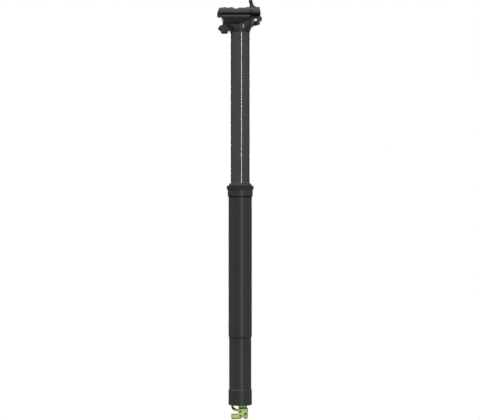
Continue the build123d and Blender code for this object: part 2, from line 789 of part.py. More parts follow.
# Rail cradle: a keel on the saddle arc, with sloping wings out to the rail grooves
slit_top_z = rail_z + slit_above_rail
cradle_top_z = slit_top_z - clamp_slit
cradle_r = saddle_r - turning_gap
cradle_chin_z = arc_z(cradle_chin_x, cradle_r) + cradle_chin_rise
cradle_rear_x = saddle_rear_x - turning_gap
with BuildPart() as rail_cradle:
    with BuildSketch(Plane.XZ):
        with BuildLine():
            Polyline(
                (cradle_rear_x, arc_z(cradle_rear_x, cradle_r)),
                (cradle_top_rear_x, cradle_top_z),
                (cradle_top_front_x, cradle_top_z),
                (cradle_nose_x, cradle_top_z - cradle_nose_drop),
                (cradle_chin_x, cradle_chin_z),
                (cradle_chin_x, arc_z(cradle_chin_x, cradle_r)),
            )
            ThreePointArc(
                (cradle_chin_x, arc_z(cradle_chin_x, cradle_r)),
                (saddle_centre_x, tilt_z - cradle_r),
                (cradle_rear_x, arc_z(cradle_rear_x, cradle_r)),
            )
        make_face()
    extrude(amount=clamp_half_width, both=True)
    with BuildSketch(Plane.YZ.offset(plate_front_x)):
        with BuildLine():
            Polyline(
                (-clamp_half_width, cradle_top_z),
                (-clamp_half_width, cradle_top_z - cradle_side_height),
                (-cradle_keel_half_width, tilt_z - cradle_r - head_edge),
                (cradle_keel_half_width, tilt_z - cradle_r - head_edge),
                (clamp_half_width, cradle_top_z - cradle_side_height),
                (clamp_half_width, cradle_top_z),
                close=True,
            )
        make_face()
    extrude(amount=plate_rear_x - plate_front_x, mode=Mode.INTERSECT)
    with BuildSketch(Plane.YZ.offset(plate_front_x)):
        with Locations((-rail_half_spacing, rail_z), (rail_half_spacing, rail_z)):
            Circle(rail_d / 2)
    extrude(amount=plate_rear_x - plate_front_x, mode=Mode.SUBTRACT)
    trough_front_x = cradle_top_front_x + cradle_trough_end
    trough_rear_x = cradle_top_rear_x - cradle_trough_end
    with BuildSketch(Plane.XY.offset(tilt_z - cradle_r + cradle_trough_floor_rise)):
        with Locations(((trough_front_x + trough_rear_x) / 2, 0)):
            RectangleRounded(
                trough_rear_x - trough_front_x, 2 * cradle_trough_half_width, cradle_trough_end
            )
    extrude(amount=saddle_r, mode=Mode.SUBTRACT)
    # Fork round the front bolt and notch for the rear bolt, open at both ends
    fork_half = bolt_r + bolt_hole_gap
    with BuildSketch(Plane.XY.offset(tilt_z - saddle_r)):
        with Locations((front_bolt_x + front_fork_end, 0)):
            Rectangle(clamp_half_width, 2 * fork_half, align=(Align.MAX, Align.CENTER))
        with Locations((cradle_rear_x - rear_notch_depth, 0)):
            Rectangle(clamp_half_width, 2 * fork_half, align=(Align.MIN, Align.CENTER))
    extrude(amount=saddle_r, mode=Mode.SUBTRACT)
rail_cradle.part.label = "rail_cradle"
export_step(rail_cradle.part, "parts/rail_cradle.step")

# Top clamp: wings that close over the rails, and a spine that houses both barrel nuts
plate_top_z = slit_top_z + plate_thickness
spine_low_z = slit_top_z - spine_drop
plate_nose_x = plate_front_x + plate_front_slope
plate_side_x = plate_nose_x + plate_front_round
block_top_z = plate_top_z + plate_block_rise
plate_high_z = plate_top_z + plate_lip_rise
plate_outline = [
    (plate_front_x, spine_low_z),
    (plate_nose_x, plate_top_z - plate_front_round),
    (plate_side_x, plate_top_z),
    (plate_lip_x, plate_top_z),
    (plate_lip_x + plate_lip_rise, plate_top_z + plate_lip_rise),
    (plate_dip_front_x - plate_lip_rise, plate_top_z + plate_lip_rise),
    (plate_dip_front_x + plate_dip_slope, plate_top_z - plate_dip_depth),
    (plate_dip_rear_x - plate_dip_slope, plate_top_z - plate_dip_depth),
    (plate_dip_rear_x, plate_top_z),
    (plate_rear_x - plate_rear_slope, plate_top_z),
    (plate_rear_x, slit_top_z),
    (plate_rear_x - plate_front_slope, spine_low_z),
]
with BuildPart() as top_clamp:
    with BuildSketch(Plane.XZ):
        with BuildLine():
            Polyline(*plate_outline, close=True)
        make_face()
    extrude(amount=clamp_half_width, both=True)
    with BuildSketch(Plane.YZ.offset(plate_front_x)) as wing:
        with BuildLine():
            Polyline(
                (-clamp_half_width, plate_high_z),
                (-clamp_half_width, slit_top_z),
                (-plate_web_half_width, slit_top_z),
                (-plate_web_half_width + plate_web_rise, slit_top_z + plate_web_rise),
                (plate_web_half_width - plate_web_rise, slit_top_z + plate_web_rise),
                (plate_web_half_width, slit_top_z),
                (clamp_half_width, slit_top_z),
                (clamp_half_width, plate_high_z),
                close=True,
            )
        make_face()
        fillet(wing.vertices().group_by(Axis.Y)[-1], plate_shoulder)
    extrude(amount=plate_rear_x - plate_front_x, mode=Mode.INTERSECT)
    with BuildSketch(Plane.YZ.offset(plate_front_x)):
        with Locations((-rail_half_spacing, rail_z), (rail_half_spacing, rail_z)):
            Circle(rail_d / 2)
    extrude(amount=plate_rear_x - plate_front_x, mode=Mode.SUBTRACT)
    with BuildSketch(Plane.XZ):
        with BuildLine():
            Polyline(*plate_outline, close=True)
        make_face()
        with Locations((front_nut_at.X, front_nut_at.Z)):
            Circle(front_nut_r + front_nut_wall)
        with Locations((rear_nut_at.X, rear_nut_at.Z)):
            Circle(rear_nut_r + rear_nut_wall)
    extrude(amount=spine_half_width, both=True)
    with BuildSketch(Plane.XY.offset(plate_top_z + spine_rise)):
        with Locations((plate_lip_x, 0)):
            Rectangle(clamp_half_width, 2 * clamp_half_width, align=(Align.MAX, Align.CENTER))
    extrude(amount=saddle_r, mode=Mode.SUBTRACT)
    with BuildSketch(Plane.XZ):
        with BuildLine():
            Polyline(
                (plate_block_x, plate_top_z - overrun),
                (plate_block_x, block_top_z),
                (plate_rear_x - plate_rear_slope, block_top_z),
                (plate_rear_x - plate_rear_slope, plate_top_z - overrun),
                close=True,
            )
        make_face()
    extrude(amount=plate_block_half_width, both=True)
    # Nut pockets, open at the top
    pocket_half_length = nut_half_length + nut_pocket_gap
    front_pocket_r = front_nut_r + nut_pocket_gap
    rear_pocket_r = rear_nut_r + nut_pocket_gap
    with BuildSketch(Plane.XZ):
        with Locations((front_nut_at.X, front_nut_at.Z)):
            Circle(front_pocket_r)
            Rectangle(2 * front_pocket_r, saddle_r, align=(Align.CENTER, Align.MIN))
        with Locations((rear_nut_at.X, rear_nut_at.Z)):
            Circle(rear_pocket_r)
            Rectangle(2 * rear_pocket_r, saddle_r, align=(Align.CENTER, Align.MIN))
    extrude(amount=pocket_half_length, both=True, mode=Mode.SUBTRACT)
    with BuildSketch(Plane.XY.offset(rear_nut_at.Z)):
        with Locations((rear_nut_at.X, 0)):
            Rectangle(2 * rear_mouth_half, 2 * (nut_boss_low_r + bolt_hole_gap))
    extrude(amount=saddle_r, mode=Mode.SUBTRACT)
    with BuildSketch(Plane.XY.offset(front_nut_at.Z)):
        with Locations((front_nut_at.X, 0)):
            Rectangle(
                front_pocket_r + front_mouth_swing,
                bolt_d + 2 * bolt_hole_gap,
                align=(Align.MIN, Align.CENTER),
            )
    extrude(amount=saddle_r, mode=Mode.SUBTRACT)
    # Slots in the pocket floors, as long as the bolts swing
    with BuildSketch(Plane.XY.offset(front_nut_at.Z)):
        with Locations((front_bolt_x - front_floor_swing / 2, 0)):
            SlotOverall(bolt_d + 2 * bolt_hole_gap + front_floor_swing, bolt_d + 2 * bolt_hole_gap)
    extrude(amount=-saddle_r, mode=Mode.SUBTRACT)
    with BuildSketch(Plane.XY.offset(rear_nut_at.Z)):
        with Locations((rear_nut_at.X, 0)):
            SlotOverall(
                bolt_d + 2 * bolt_hole_gap + 2 * rear_floor_swing, bolt_d + 2 * bolt_hole_gap
            )
    extrude(amount=-saddle_r, mode=Mode.SUBTRACT)
top_clamp.part.label = "top_clamp"
export_step(top_clamp.part, "parts/top_clamp.step")


def clamp_bolt(seat, length):
    """A socket-head bolt whose head lies under the seat plane."""
    with BuildPart() as piece:
        with BuildSketch(seat.offset(-bolt_seat_gap - bolt_head_height)):
            Circle(bolt_head_d / 2)
        extrude(amount=bolt_head_height)
        chamfer(piece.edges().group_by(Axis(seat.origin, seat.z_dir))[0], bolt_head_edge)
        with BuildSketch(seat.offset(-bolt_seat_gap - bolt_head_height)):
            RegularPolygon(socket_across / 2, 6, major_radius=False)
        extrude(amount=socket_depth, mode=Mode.SUBTRACT)
        with BuildSketch(seat.offset(-bolt_seat_gap - overrun)):
            Circle(bolt_r)
        extrude(amount=length + bolt_seat_gap + overrun)
    return piece


def half_washer(seat):
    """A half-round washer: flat to the bolt's head, round to the lug."""
    with BuildPart() as piece:
        with BuildSketch(Plane(origin=seat.origin, x_dir=seat.x_dir, z_dir=(0, -1, 0))):
            Circle(washer_r)
            Rectangle(2 * washer_r, washer_r, align=(Align.CENTER, Align.MAX), mode=Mode.SUBTRACT)
        extrude(amount=washer_half_length, both=True)
        with BuildSketch(seat):
            SlotOverall(
                bolt_d + 2 * (bolt_hole_gap + washer_slack), bolt_d + 2 * bolt_hole_gap
            )
        extrude(amount=washer_r + overrun, mode=Mode.SUBTRACT)
    return piece


def barrel_nut(seat, reach, radius, has_boss):
    """A cross barrel that the bolt threads through, with or without a boss on top."""
    middle = seat.origin + seat.z_dir * reach
    with BuildPart() as piece:
        with BuildSketch(Plane(origin=middle, x_dir=seat.x_dir, z_dir=(0, -1, 0))):
            Circle(radius)
        extrude(amount=nut_half_length, both=True)
        if has_boss:
            with BuildSketch(seat.offset(reach)):
                Circle(nut_boss_low_r)
            with BuildSketch(seat.offset(reach + nut_boss_height)):
                Circle(nut_boss_top_r)
            loft()
        with BuildSketch(seat.offset(reach - radius - overrun)):
            Circle(bolt_r + running_gap)
        extrude(amount=2 * (radius + overrun) + nut_boss_height, mode=Mode.SUBTRACT)
    return piece


front_clamp_bolt = clamp_bolt(front_plane, front_nut_reach + front_bolt_tip)
front_clamp_bolt.part.label = "front_clamp_bolt"
export_step(front_clamp_bolt.part, "parts/front_clamp_bolt.step")

rear_clamp_bolt = clamp_bolt(rear_plane, rear_nut_reach + rear_bolt_tip)
rear_clamp_bolt.part.label = "rear_clamp_bolt"
export_step(rear_clamp_bolt.part, "parts/rear_clamp_bolt.step")

front_washer = half_washer(front_plane)
front_washer.part.label = "front_washer"
export_step(front_washer.part, "parts/front_washer.step")

rear_washer = half_washer(rear_plane)
rear_washer.part.label = "rear_washer"
export_step(rear_washer.part, "parts/rear_washer.step")

front_barrel_nut = barrel_nut(front_plane, front_nut_reach, front_nut_r, False)
front_barrel_nut.part.label = "front_barrel_nut"
export_step(front_barrel_nut.part, "parts/front_barrel_nut.step")

rear_barrel_nut = barrel_nut(rear_plane, rear_nut_reach, rear_nut_r, True)
rear_barrel_nut.part.label = "rear_barrel_nut"
export_step(rear_barrel_nut.part, "parts/rear_barrel_nut.step")

# Actuator carrier: a disc in the cap, a neck, the ear that the lever turns on, and the cable hook
neck_low_z = disc_low_z - carrier_neck_height
ear_low_z = disc_low_z - carrier_ear_drop
pivot_z = disc_low_z - lever_pivot_drop
hook_low_z = disc_low_z - hook_low_drop
hook_root_z = disc_low_z - hook_root_drop
hook_bend_share = 0.23
with BuildPart() as actuator_carrier:
    with BuildSketch(Plane.XY.offset(disc_low_z)):
        Circle(tube_r - cap_rim - seat_gap)
    extrude(amount=cap_recess - seat_gap)
    with BuildSketch(Plane.XY.offset(stud_low_z - seat_gap)):
        Circle(rod_stud_d / 2 + seat_gap)
    extrude(amount=cap_recess, mode=Mode.SUBTRACT)
    with BuildSketch(Plane.XZ):
        with BuildLine():
            Polyline(
                (carrier_neck_front_x, disc_low_z),
                (carrier_neck_rear_x, disc_low_z),
                (carrier_neck_rear_x, neck_low_z),
                (carrier_neck_front_x, neck_low_z),
                close=True,
            )
        make_face()
    extrude(amount=carrier_neck_half_width, both=True)
    with BuildSketch(Plane.XZ) as ear:
        with BuildLine():
            Polyline(
                (carrier_ear_front_x, disc_low_z),
                (carrier_neck_rear_x, disc_low_z),
                (carrier_neck_rear_x, neck_low_z),
                (carrier_ear_rear_x, neck_low_z - carrier_ear_round),
                (carrier_ear_rear_x, ear_low_z),
                (carrier_ear_front_x, ear_low_z),
                close=True,
            )
        make_face()
        fillet(ear.vertices().group_by(Axis.Y)[0], carrier_ear_round)
    extrude(amount=carrier_ear_half_width, both=True)
    with BuildSketch(Plane.XZ):
        with BuildLine():
            Line((hook_front_x, disc_low_z), (hook_front_x, hook_root_z))
            ThreePointArc(
                (hook_front_x, hook_root_z),
                (
                    hook_front_x + (hook_tip_x - hook_front_x) * hook_bend_share,
                    hook_low_z + (hook_root_z - hook_low_z) * hook_bend_share,
                ),
                (hook_tip_x, hook_low_z),
            )
            Line((hook_tip_x, hook_low_z), (hook_tip_x, hook_low_z + hook_thickness))
            ThreePointArc(
                (hook_tip_x, hook_low_z + hook_thickness),
                (
                    hook_front_x + hook_thickness + (hook_tip_x - hook_front_x) * hook_bend_share,
                    hook_low_z + hook_thickness + (hook_root_z - hook_low_z) * hook_bend_share,
                ),
                (hook_front_x + hook_thickness, hook_root_z),
            )
            Line((hook_front_x + hook_thickness, hook_root_z), (hook_front_x + hook_thickness, disc_low_z))
            Line((hook_front_x + hook_thickness, disc_low_z), (hook_front_x, disc_low_z))
        make_face()
    extrude(amount=hook_half_width, both=True)
    with BuildSketch(Plane.XY.offset(hook_low_z - overrun)):
        with Locations((ferrule_x, 0)):
            Circle(hook_wire_d / 2)
    extrude(amount=hook_low_drop, mode=Mode.SUBTRACT)
    with BuildSketch(Plane.XY.offset(disc_low_z - carrier_neck_height - overrun)):
        Circle(rod_bore_r)
    extrude(amount=carrier_neck_height + overrun + cap_recess, mode=Mode.SUBTRACT)
    with BuildSketch(Plane.XZ):
        with Locations((lever_pivot_x, pivot_z)):
            Circle(lever_pin_d / 2 + seat_gap)
        with Locations((spring_pin_x, ear_low_z + spring_pin_rise)):
            Circle(spring_pin_d / 2 + seat_gap)
    extrude(amount=carrier_ear_half_width + overrun, both=True, mode=Mode.SUBTRACT)
actuator_carrier.part.label = "actuator_carrier"
export_step(actuator_carrier.part, "parts/actuator_carrier.step")

# Actuator lever: two cheeks on the pivot pin, joined by the foot that seats the cable housing
cheek_in = carrier_ear_half_width + lever_cheek_gap
cheek_out = cheek_in + lever_cheek_wall
lever_top_z = disc_low_z - lever_top_drop
lever_low_z = disc_low_z - lever_bottom_drop
foot_top_z = lever_low_z + foot_height
push_z = disc_low_z - push_pin_drop
spacer_z = disc_low_z - spacer_pin_drop
knee_angle = atan2(lever_knee_rise, lever_pivot_x - lever_knee_x)
with BuildPart() as actuator_lever:
    with BuildSketch(Plane.XZ):
        with BuildLine():
            Polyline(
                (lever_front_x, lever_low_z),
                (lever_heel_x, lever_low_z),
                (lever_knee_x, lever_low_z + lever_knee_rise),
                (lever_pivot_x + lever_hub_r * sin(knee_angle), pivot_z - lever_hub_r * cos(knee_angle)),
                (lever_pivot_x + lever_hub_r, pivot_z),
                (lever_pivot_x + lever_hub_r * cos(knee_angle), lever_top_z - lever_top_slope),
                (lever_pivot_x - lever_hub_r, lever_top_z),
                (lever_front_x + lever_hub_r, lever_top_z - lever_top_slope / 2),
                (lever_front_x, lever_top_z - lever_top_slope),
                close=True,
            )
        make_face()
        with Locations((lever_pivot_x, pivot_z)):
            Circle(lever_hub_r)
    extrude(amount=cheek_out, both=True)
    with BuildSketch(Plane.XY.offset(foot_top_z)):
        with Locations((lever_front_x, 0)):
            Rectangle(saddle_r, 2 * cheek_in, align=(Align.MIN, Align.CENTER))
    extrude(amount=foot_height + hook_low_drop, mode=Mode.SUBTRACT)
    with BuildSketch(Plane.XY.offset(lever_low_z - overrun)):
        with Locations((lever_heel_x, 0)):
            Rectangle(saddle_r, 2 * cheek_in, align=(Align.MIN, Align.CENTER))
    extrude(amount=lever_bottom_drop, mode=Mode.SUBTRACT)
    with BuildSketch(Plane.XY.offset(lever_low_z)) as foot:
        with Locations((foot_front_x, 0)):
            Rectangle(lever_heel_x - foot_front_x, 2 * cheek_out, align=(Align.MIN, Align.CENTER))
        fillet(foot.vertices().group_by(Axis.X)[0], cheek_in)
    extrude(amount=foot_height)
    with BuildSketch(Plane.XY.offset(lever_low_z)):
        with Locations((ferrule_x, 0)):
            Circle(ferrule_d / 2)
    extrude(amount=ferrule_depth, mode=Mode.SUBTRACT)
    with BuildSketch(Plane.XY.offset(lever_low_z)):
        with Locations((ferrule_x, 0)):
            Circle(ferrule_wire_d / 2)
            Rectangle(saddle_r, wire_slot_width, align=(Align.MAX, Align.CENTER))
    extrude(amount=foot_height, mode=Mode.SUBTRACT)
    with BuildSketch(Plane.XZ):
        with Locations((lever_pivot_x, pivot_z)):
            Circle(lever_pin_d / 2 + running_gap)
        with Locations((0, push_z), (0, spacer_z)):
            Circle(push_pin_d / 2 + seat_gap)
    extrude(amount=cheek_out + overrun, both=True, mode=Mode.SUBTRACT)
actuator_lever.part.label = "actuator_lever"
export_step(actuator_lever.part, "parts/actuator_lever.step")

# Pins of the actuator
lever_pin = cross_pin(lever_pivot_x, pivot_z, lever_pin_d / 2, cheek_out - pin_recess / 2)
lever_pin.part.label = "lever_pin"
export_step(lever_pin.part, "parts/lever_pin.step")

# A slotted spring pin pressed in the ear's foot
with BuildPart() as spring_pin:
    with BuildSketch(Plane.XZ):
        with Locations((spring_pin_x, ear_low_z + spring_pin_rise)):
            Circle(spring_pin_d / 2)
            Circle(spring_pin_d / 2 - spring_pin_wall, mode=Mode.SUBTRACT)
            Rectangle(spring_pin_d, spring_pin_slot, align=(Align.MIN, Align.CENTER), mode=Mode.SUBTRACT)
    extrude(amount=carrier_ear_half_width - pin_recess, both=True)
spring_pin.part.label = "spring_pin"
export_step(spring_pin.part, "parts/spring_pin.step")

with BuildPart() as push_pin:
    with BuildSketch(Plane.XZ):
        with Locations((0, push_z)):
            Circle(push_pin_d / 2)
    extrude(amount=cheek_out - pin_recess, both=True)
    with BuildSketch(Plane.XZ):
        with Locations((0, push_z)):
            Circle(push_roller_d / 2)
    extrude(amount=cheek_in - seat_gap, both=True)
push_pin.part.label = "push_pin"
export_step(push_pin.part, "parts/push_pin.step")

spacer_pin = cross_pin(0, spacer_z, push_pin_d / 2, cheek_out - pin_recess)
spacer_pin.part.label = "spacer_pin"
export_step(spacer_pin.part, "parts/spacer_pin.step")

# Valve pin, which the push pin lifts to open the cartridge
valve_pin_low_z = push_z + push_roller_d / 2 + valve_contact_gap
valve_pin_top_z = piston_top_z - valve_pin_top_inset
with BuildPart() as valve_pin:
    with BuildSketch(Plane.XY.offset(valve_pin_low_z)):
        Circle(valve_pin_r)
    extrude(amount=valve_pin_top_z - valve_pin_low_z)
    with BuildSketch(Plane.XY.offset(valve_pin_low_z + valve_pin_foot)):
        Circle(valve_pin_bore_d / 2)
    extrude(amount=valve_pin_top_z - valve_pin_low_z, mode=Mode.SUBTRACT)
valve_pin.part.label = "valve_pin"
export_step(valve_pin.part, "parts/valve_pin.step")
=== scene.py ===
# %% [markdown]
# This lesson dresses a dropper seatpost for a mountain bike: a slim black tube with a clamp for the saddle
# on top and a green cable actuator at its foot. The rider presses a lever, the saddle drops by 200 mm, and
# gas brings it up again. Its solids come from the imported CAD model, in real metres. They could be modelled
# again here, but the picture and the part would drift apart, so the frame stays as it is, and the lesson
# adds the light, the camera, the surface of every piece and the small details that give scale.

# %% Load the frame
import math

import bmesh
import bpy
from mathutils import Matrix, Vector


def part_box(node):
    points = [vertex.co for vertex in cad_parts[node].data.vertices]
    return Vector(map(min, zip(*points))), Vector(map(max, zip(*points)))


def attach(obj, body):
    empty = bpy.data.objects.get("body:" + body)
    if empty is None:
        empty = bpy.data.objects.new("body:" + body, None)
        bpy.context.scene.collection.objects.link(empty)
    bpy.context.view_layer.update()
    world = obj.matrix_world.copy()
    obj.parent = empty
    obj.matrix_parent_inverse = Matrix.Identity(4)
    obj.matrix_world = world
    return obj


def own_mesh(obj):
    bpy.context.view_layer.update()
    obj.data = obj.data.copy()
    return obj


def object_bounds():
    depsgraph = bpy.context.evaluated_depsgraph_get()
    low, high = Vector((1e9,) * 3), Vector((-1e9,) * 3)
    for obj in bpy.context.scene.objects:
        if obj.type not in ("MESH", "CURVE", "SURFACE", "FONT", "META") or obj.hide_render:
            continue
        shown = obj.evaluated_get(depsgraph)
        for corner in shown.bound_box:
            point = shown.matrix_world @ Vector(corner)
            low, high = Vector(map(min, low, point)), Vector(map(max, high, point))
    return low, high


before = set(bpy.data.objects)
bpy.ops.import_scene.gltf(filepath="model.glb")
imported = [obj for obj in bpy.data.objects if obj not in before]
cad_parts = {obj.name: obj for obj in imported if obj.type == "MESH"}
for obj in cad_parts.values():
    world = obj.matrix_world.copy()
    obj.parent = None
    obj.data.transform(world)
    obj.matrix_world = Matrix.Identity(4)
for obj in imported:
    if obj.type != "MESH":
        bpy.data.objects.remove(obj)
cad_low, cad_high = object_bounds()
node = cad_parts
MM = 0.001

# %% [markdown]
# The picture looks straight at the left side of the post, from more than two metres and at about half its
# height. A camera could be placed by eye, but then nothing could be measured in the picture. Here its
# place and its lens come from one scale: how many millimetres of the object one pixel covers. So far away
# that needs a long lens, and a long lens keeps the sides of the tube parallel. The frame is 480 by 420
# pixels, and the last two pixel values say where the post's axis and the lower edge of its collar lie in
# it.

# %% Camera
MM_PER_PIXEL = 1.345
FRAME_W = 480
FRAME_H = 420
AXIS_PIXEL = 240.2
COLLAR_PIXEL = 196.7
CAMERA_DISTANCE = 2.35
SENSOR = 36.0

camera = bpy.data.objects.new("camera", bpy.data.cameras.new("camera"))
bpy.context.scene.collection.objects.link(camera)
bpy.context.scene.camera = camera
camera.data.sensor_width = SENSOR
camera.data.lens = CAMERA_DISTANCE / (FRAME_W * MM_PER_PIXEL * MM) * SENSOR
camera_x = (FRAME_W / 2 - AXIS_PIXEL) * MM_PER_PIXEL * MM
camera_z = (COLLAR_PIXEL - FRAME_H / 2) * MM_PER_PIXEL * MM
camera.location = (camera_x, -CAMERA_DISTANCE, camera_z)
camera.rotation_euler = (math.radians(90), 0, 0)
print("lens", round(camera.data.lens, 1), "height", round(camera_z, 4))

# %% [markdown]
# Materials and worlds are trees of nodes. They can be wired by hand in the shader editor, but a script
# gives the same tree each time. One helper adds a node and sets its values, and another wires a list of
# pairs, so a finish later reads as a short recipe.

# %% Helpers for node trees
def add(tree, kind, sockets=None, **properties):
    """A new node with its properties and socket values set."""
    made = tree.nodes.new(kind)
    for name, value in properties.items():
        setattr(made, name, value)
    for name, value in (sockets or {}).items():
        made.inputs[name].default_value = value
    return made


def wire(tree, *pairs):
    """Links each pair of an output and an input."""
    for output, socket in pairs:
        tree.links.new(output, socket)


def grey(value):
    """A grey as a colour socket takes it."""
    return (value, value, value, 1)


print("a middle grey is", grey(0.5))

# %% [markdown]
# Product pictures are cut out on white. A white wall behind the object would give that, but black metal
# would mirror the wall and turn grey. So the world is white to the camera alone, and to the surfaces it is
# a dim room. The Light Path node tells the two apart. Standard view keeps white at white.

# %% World
bpy.context.scene.view_settings.view_transform = "Standard"
world = bpy.data.worlds.new("studio")
bpy.context.scene.world = world
world.use_nodes = True
tree = world.node_tree
tree.nodes.clear()
out = add(tree, "ShaderNodeOutputWorld")
path = add(tree, "ShaderNodeLightPath")
seen = add(tree, "ShaderNodeBackground", {"Color": grey(1)})
lit = add(tree, "ShaderNodeBackground")
mix = add(tree, "ShaderNodeMixShader")
wire(
    tree,
    (path.outputs["Is Camera Ray"], mix.inputs["Fac"]),
    (lit.outputs["Background"], mix.inputs[1]),
    (seen.outputs["Background"], mix.inputs[2]),
    (mix.outputs["Shader"], out.inputs["Surface"]),
)
print("world nodes", len(tree.nodes))

# %% [markdown]
# A studio isn't the same all round, and metal shows it. A photographed room could light the scene, but a
# ramp of greys needs no image, and each of its levels can be tuned by itself. The ceiling is bright and
# the ground dark, which gives the head its light shoulders and black undersides. The room is dimmer behind
# the object, or the edges of every tube would glow. The ramp reads how high a direction points, and a Map
# Range node how far it points away from the camera.

# %% A room with a bright ceiling
ROOM_GREY = 1.9
BACK_SHARE = 0.45
BACK_FROM = 0.7
CEILING_STOPS = ((0.12, 0.02), (0.42, 0.34), (0.58, 0.44), (0.85, 1.0))

place = add(tree, "ShaderNodeTexCoord")
split = add(tree, "ShaderNodeSeparateXYZ")
height = add(tree, "ShaderNodeMapRange", {"From Min": -1})
ceiling = add(tree, "ShaderNodeValToRGB")
ramp = ceiling.color_ramp
ramp.elements[0].position = CEILING_STOPS[0][0]
ramp.elements[1].position = CEILING_STOPS[-1][0]
for where, level in CEILING_STOPS[1:-1]:
    ramp.elements.new(where)
for stop, (where, level) in zip(ramp.elements, CEILING_STOPS):
    stop.color = grey(level)
away = {"From Max": BACK_FROM, "To Min": ROOM_GREY, "To Max": ROOM_GREY * BACK_SHARE}
depth = add(tree, "ShaderNodeMapRange", away, interpolation_type="SMOOTHSTEP")
both = add(tree, "ShaderNodeMath", operation="MULTIPLY")
wire(
    tree,
    (place.outputs["Generated"], split.inputs["Vector"]),
    (split.outputs["Z"], height.inputs["Value"]),
    (height.outputs["Result"], ceiling.inputs["Fac"]),
    (split.outputs["Y"], depth.inputs["Value"]),
    (ceiling.outputs["Color"], both.inputs[0]),
    (depth.outputs["Result"], both.inputs[1]),
    (both.outputs["Value"], lit.inputs["Strength"]),
)
print("room levels", [(round(s.position, 2), round(s.color[0], 2)) for s in ramp.elements])

# %% [markdown]
# A studio light is a bright panel, not a point, and what a shiny piece shows of it is the panel's own
# shape. So every light here is an area light, a soft box. One helper makes it and turns it towards what it
# lights. Its place could be given in metres, but a photographer thinks in angles round the object, so a
# second helper turns an angle into a place.

# %% A soft box
RING_RADIUS = 1.9


def soft_box(name, place, aim, size, power, tint=(1, 1, 1)):
    """An area light of a width and height at a place, turned to face a point."""
    data = bpy.data.lights.new(name, "AREA")
    data.shape = "RECTANGLE"
    data.size, data.size_y = size
    data.energy = power
    data.color = tint
    light = bpy.data.objects.new(name, data)
    bpy.context.scene.collection.objects.link(light)
    light.location = place
    light.rotation_euler = (Vector(place) - Vector(aim)).to_track_quat("Z", "Y").to_euler()
    return light


def around(azimuth, z):
    """A place on the ring of lights: 0 degrees is the camera's side, positive to its right."""
    turn = math.radians(azimuth)
    return (RING_RADIUS * math.sin(turn), -RING_RADIUS * math.cos(turn), z)


print("a light straight in front stands at", around(0, 0))

# %% [markdown]
# A round tube mirrors a light as an upright line, so its look comes from the lights more than from its
# colour. Point lights would leave small hot spots on it. One narrow strip, a little to the right of the
# camera, draws the bright line down the stanchion, and a broad box overhead lights the shoulders of the
# head. The polished metal needs more of the strip than the satin tube may get, so a second strip beside
# the first is linked to the polished pieces alone. Two strips stand behind the object: the front view
# hardly meets them, and they draw the same line on its back.

# %% Lights
MIDDLE = (0, 0, 0)
NARROW_STRIP = (0.10, 2.6)
BLUISH = (0.93, 0.95, 1)

soft_box("strip_key", around(16, 0.1), MIDDLE, size=NARROW_STRIP, power=9)
gloss = soft_box("strip_gloss", around(15, 0.1), MIDDLE, size=NARROW_STRIP, power=6.4)
polished_only = bpy.data.collections.new("polished_only")
polished_only.objects.link(node["stanchion"])
polished_only.objects.link(node["rear_washer"])
gloss.light_linking.receiver_collection = polished_only
soft_box("top_box", (-0.1, -0.5, 1.6), (0, 0, 0.2), size=(1.2, 0.9), power=8)
soft_box("back_strip_left", around(-170, 0.2), MIDDLE, size=(0.14, 2.2), power=9)
soft_box("back_strip_right", around(168, 0.2), MIDDLE, size=(0.2, 2.2), power=7, tint=BLUISH)

# %% [markdown]
# The post wants a ground under it, but a floor that runs to the horizon would tint the white background. A
# plain pale disc is enough. It lies below the picture's lower edge in the first view, and it catches a
# soft shadow when the camera goes higher. Its underside is clear, so that it never hides the actuator from
# below.

# %% Floor
FLOOR_DROP = 0.11
FLOOR_RADIUS = 0.24
FLOOR_SEGMENTS = 96

floor_mesh = bpy.data.meshes.new("floor")
bm = bmesh.new()
bmesh.ops.create_circle(bm, cap_ends=True, segments=FLOOR_SEGMENTS, radius=FLOOR_RADIUS)
bm.to_mesh(floor_mesh)
bm.free()
floor = bpy.data.objects.new("floor", floor_mesh)
floor.location = (0, 0, cad_low.z - FLOOR_DROP)
bpy.context.scene.collection.objects.link(floor)
print("floor at", round(floor.location.z, 3))

# %% [markdown]
# A pale, nearly matt floor takes the shadow without a mirror image. From below it would hide the actuator.
# It could be switched off for such views, but one script has to serve every view. A ray knows from which
# side it meets a surface: the Backfacing output of the Geometry node is 1 from below, and a clear shader
# takes over there.

# %% Finish of the floor
FLOOR_GREY = 0.62
FLOOR_ROUGH = 0.8

pale = bpy.data.materials.new("pale_floor")
pale.use_nodes = True
tree = pale.node_tree
shader = tree.nodes["Principled BSDF"]
shader.inputs["Base Color"].default_value = grey(FLOOR_GREY)
shader.inputs["Roughness"].default_value = FLOOR_ROUGH
geometry = add(tree, "ShaderNodeNewGeometry")
clear = add(tree, "ShaderNodeBsdfTransparent")
mix = add(tree, "ShaderNodeMixShader")
wire(
    tree,
    (geometry.outputs["Backfacing"], mix.inputs["Fac"]),
    (shader.outputs["BSDF"], mix.inputs[1]),
    (clear.outputs["BSDF"], mix.inputs[2]),
    (mix.outputs["Shader"], tree.nodes["Material Output"].inputs["Surface"]),
)
floor.data.materials.append(pale)
print("floor nodes", len(tree.nodes))

# %% [markdown]
# No real surface is one flat colour. An image could carry its life, but it would have to be unwrapped on
# every piece, and noise needs no unwrapping. Every finish here is a Principled shader with fine grain in
# its bump and its roughness, and a slow change of tone. The grain is read from object coordinates, and
# because the pieces sit in real metres, its size is real too. No real edge is sharp either. A bevel on
# every mesh would change the CAD pieces, so a Bevel node rounds only the normals over the last fraction of
# a millimetre, and every edge catches a little light. One helper builds all that, with the grain in
# millimetres, and each finish says only what differs.

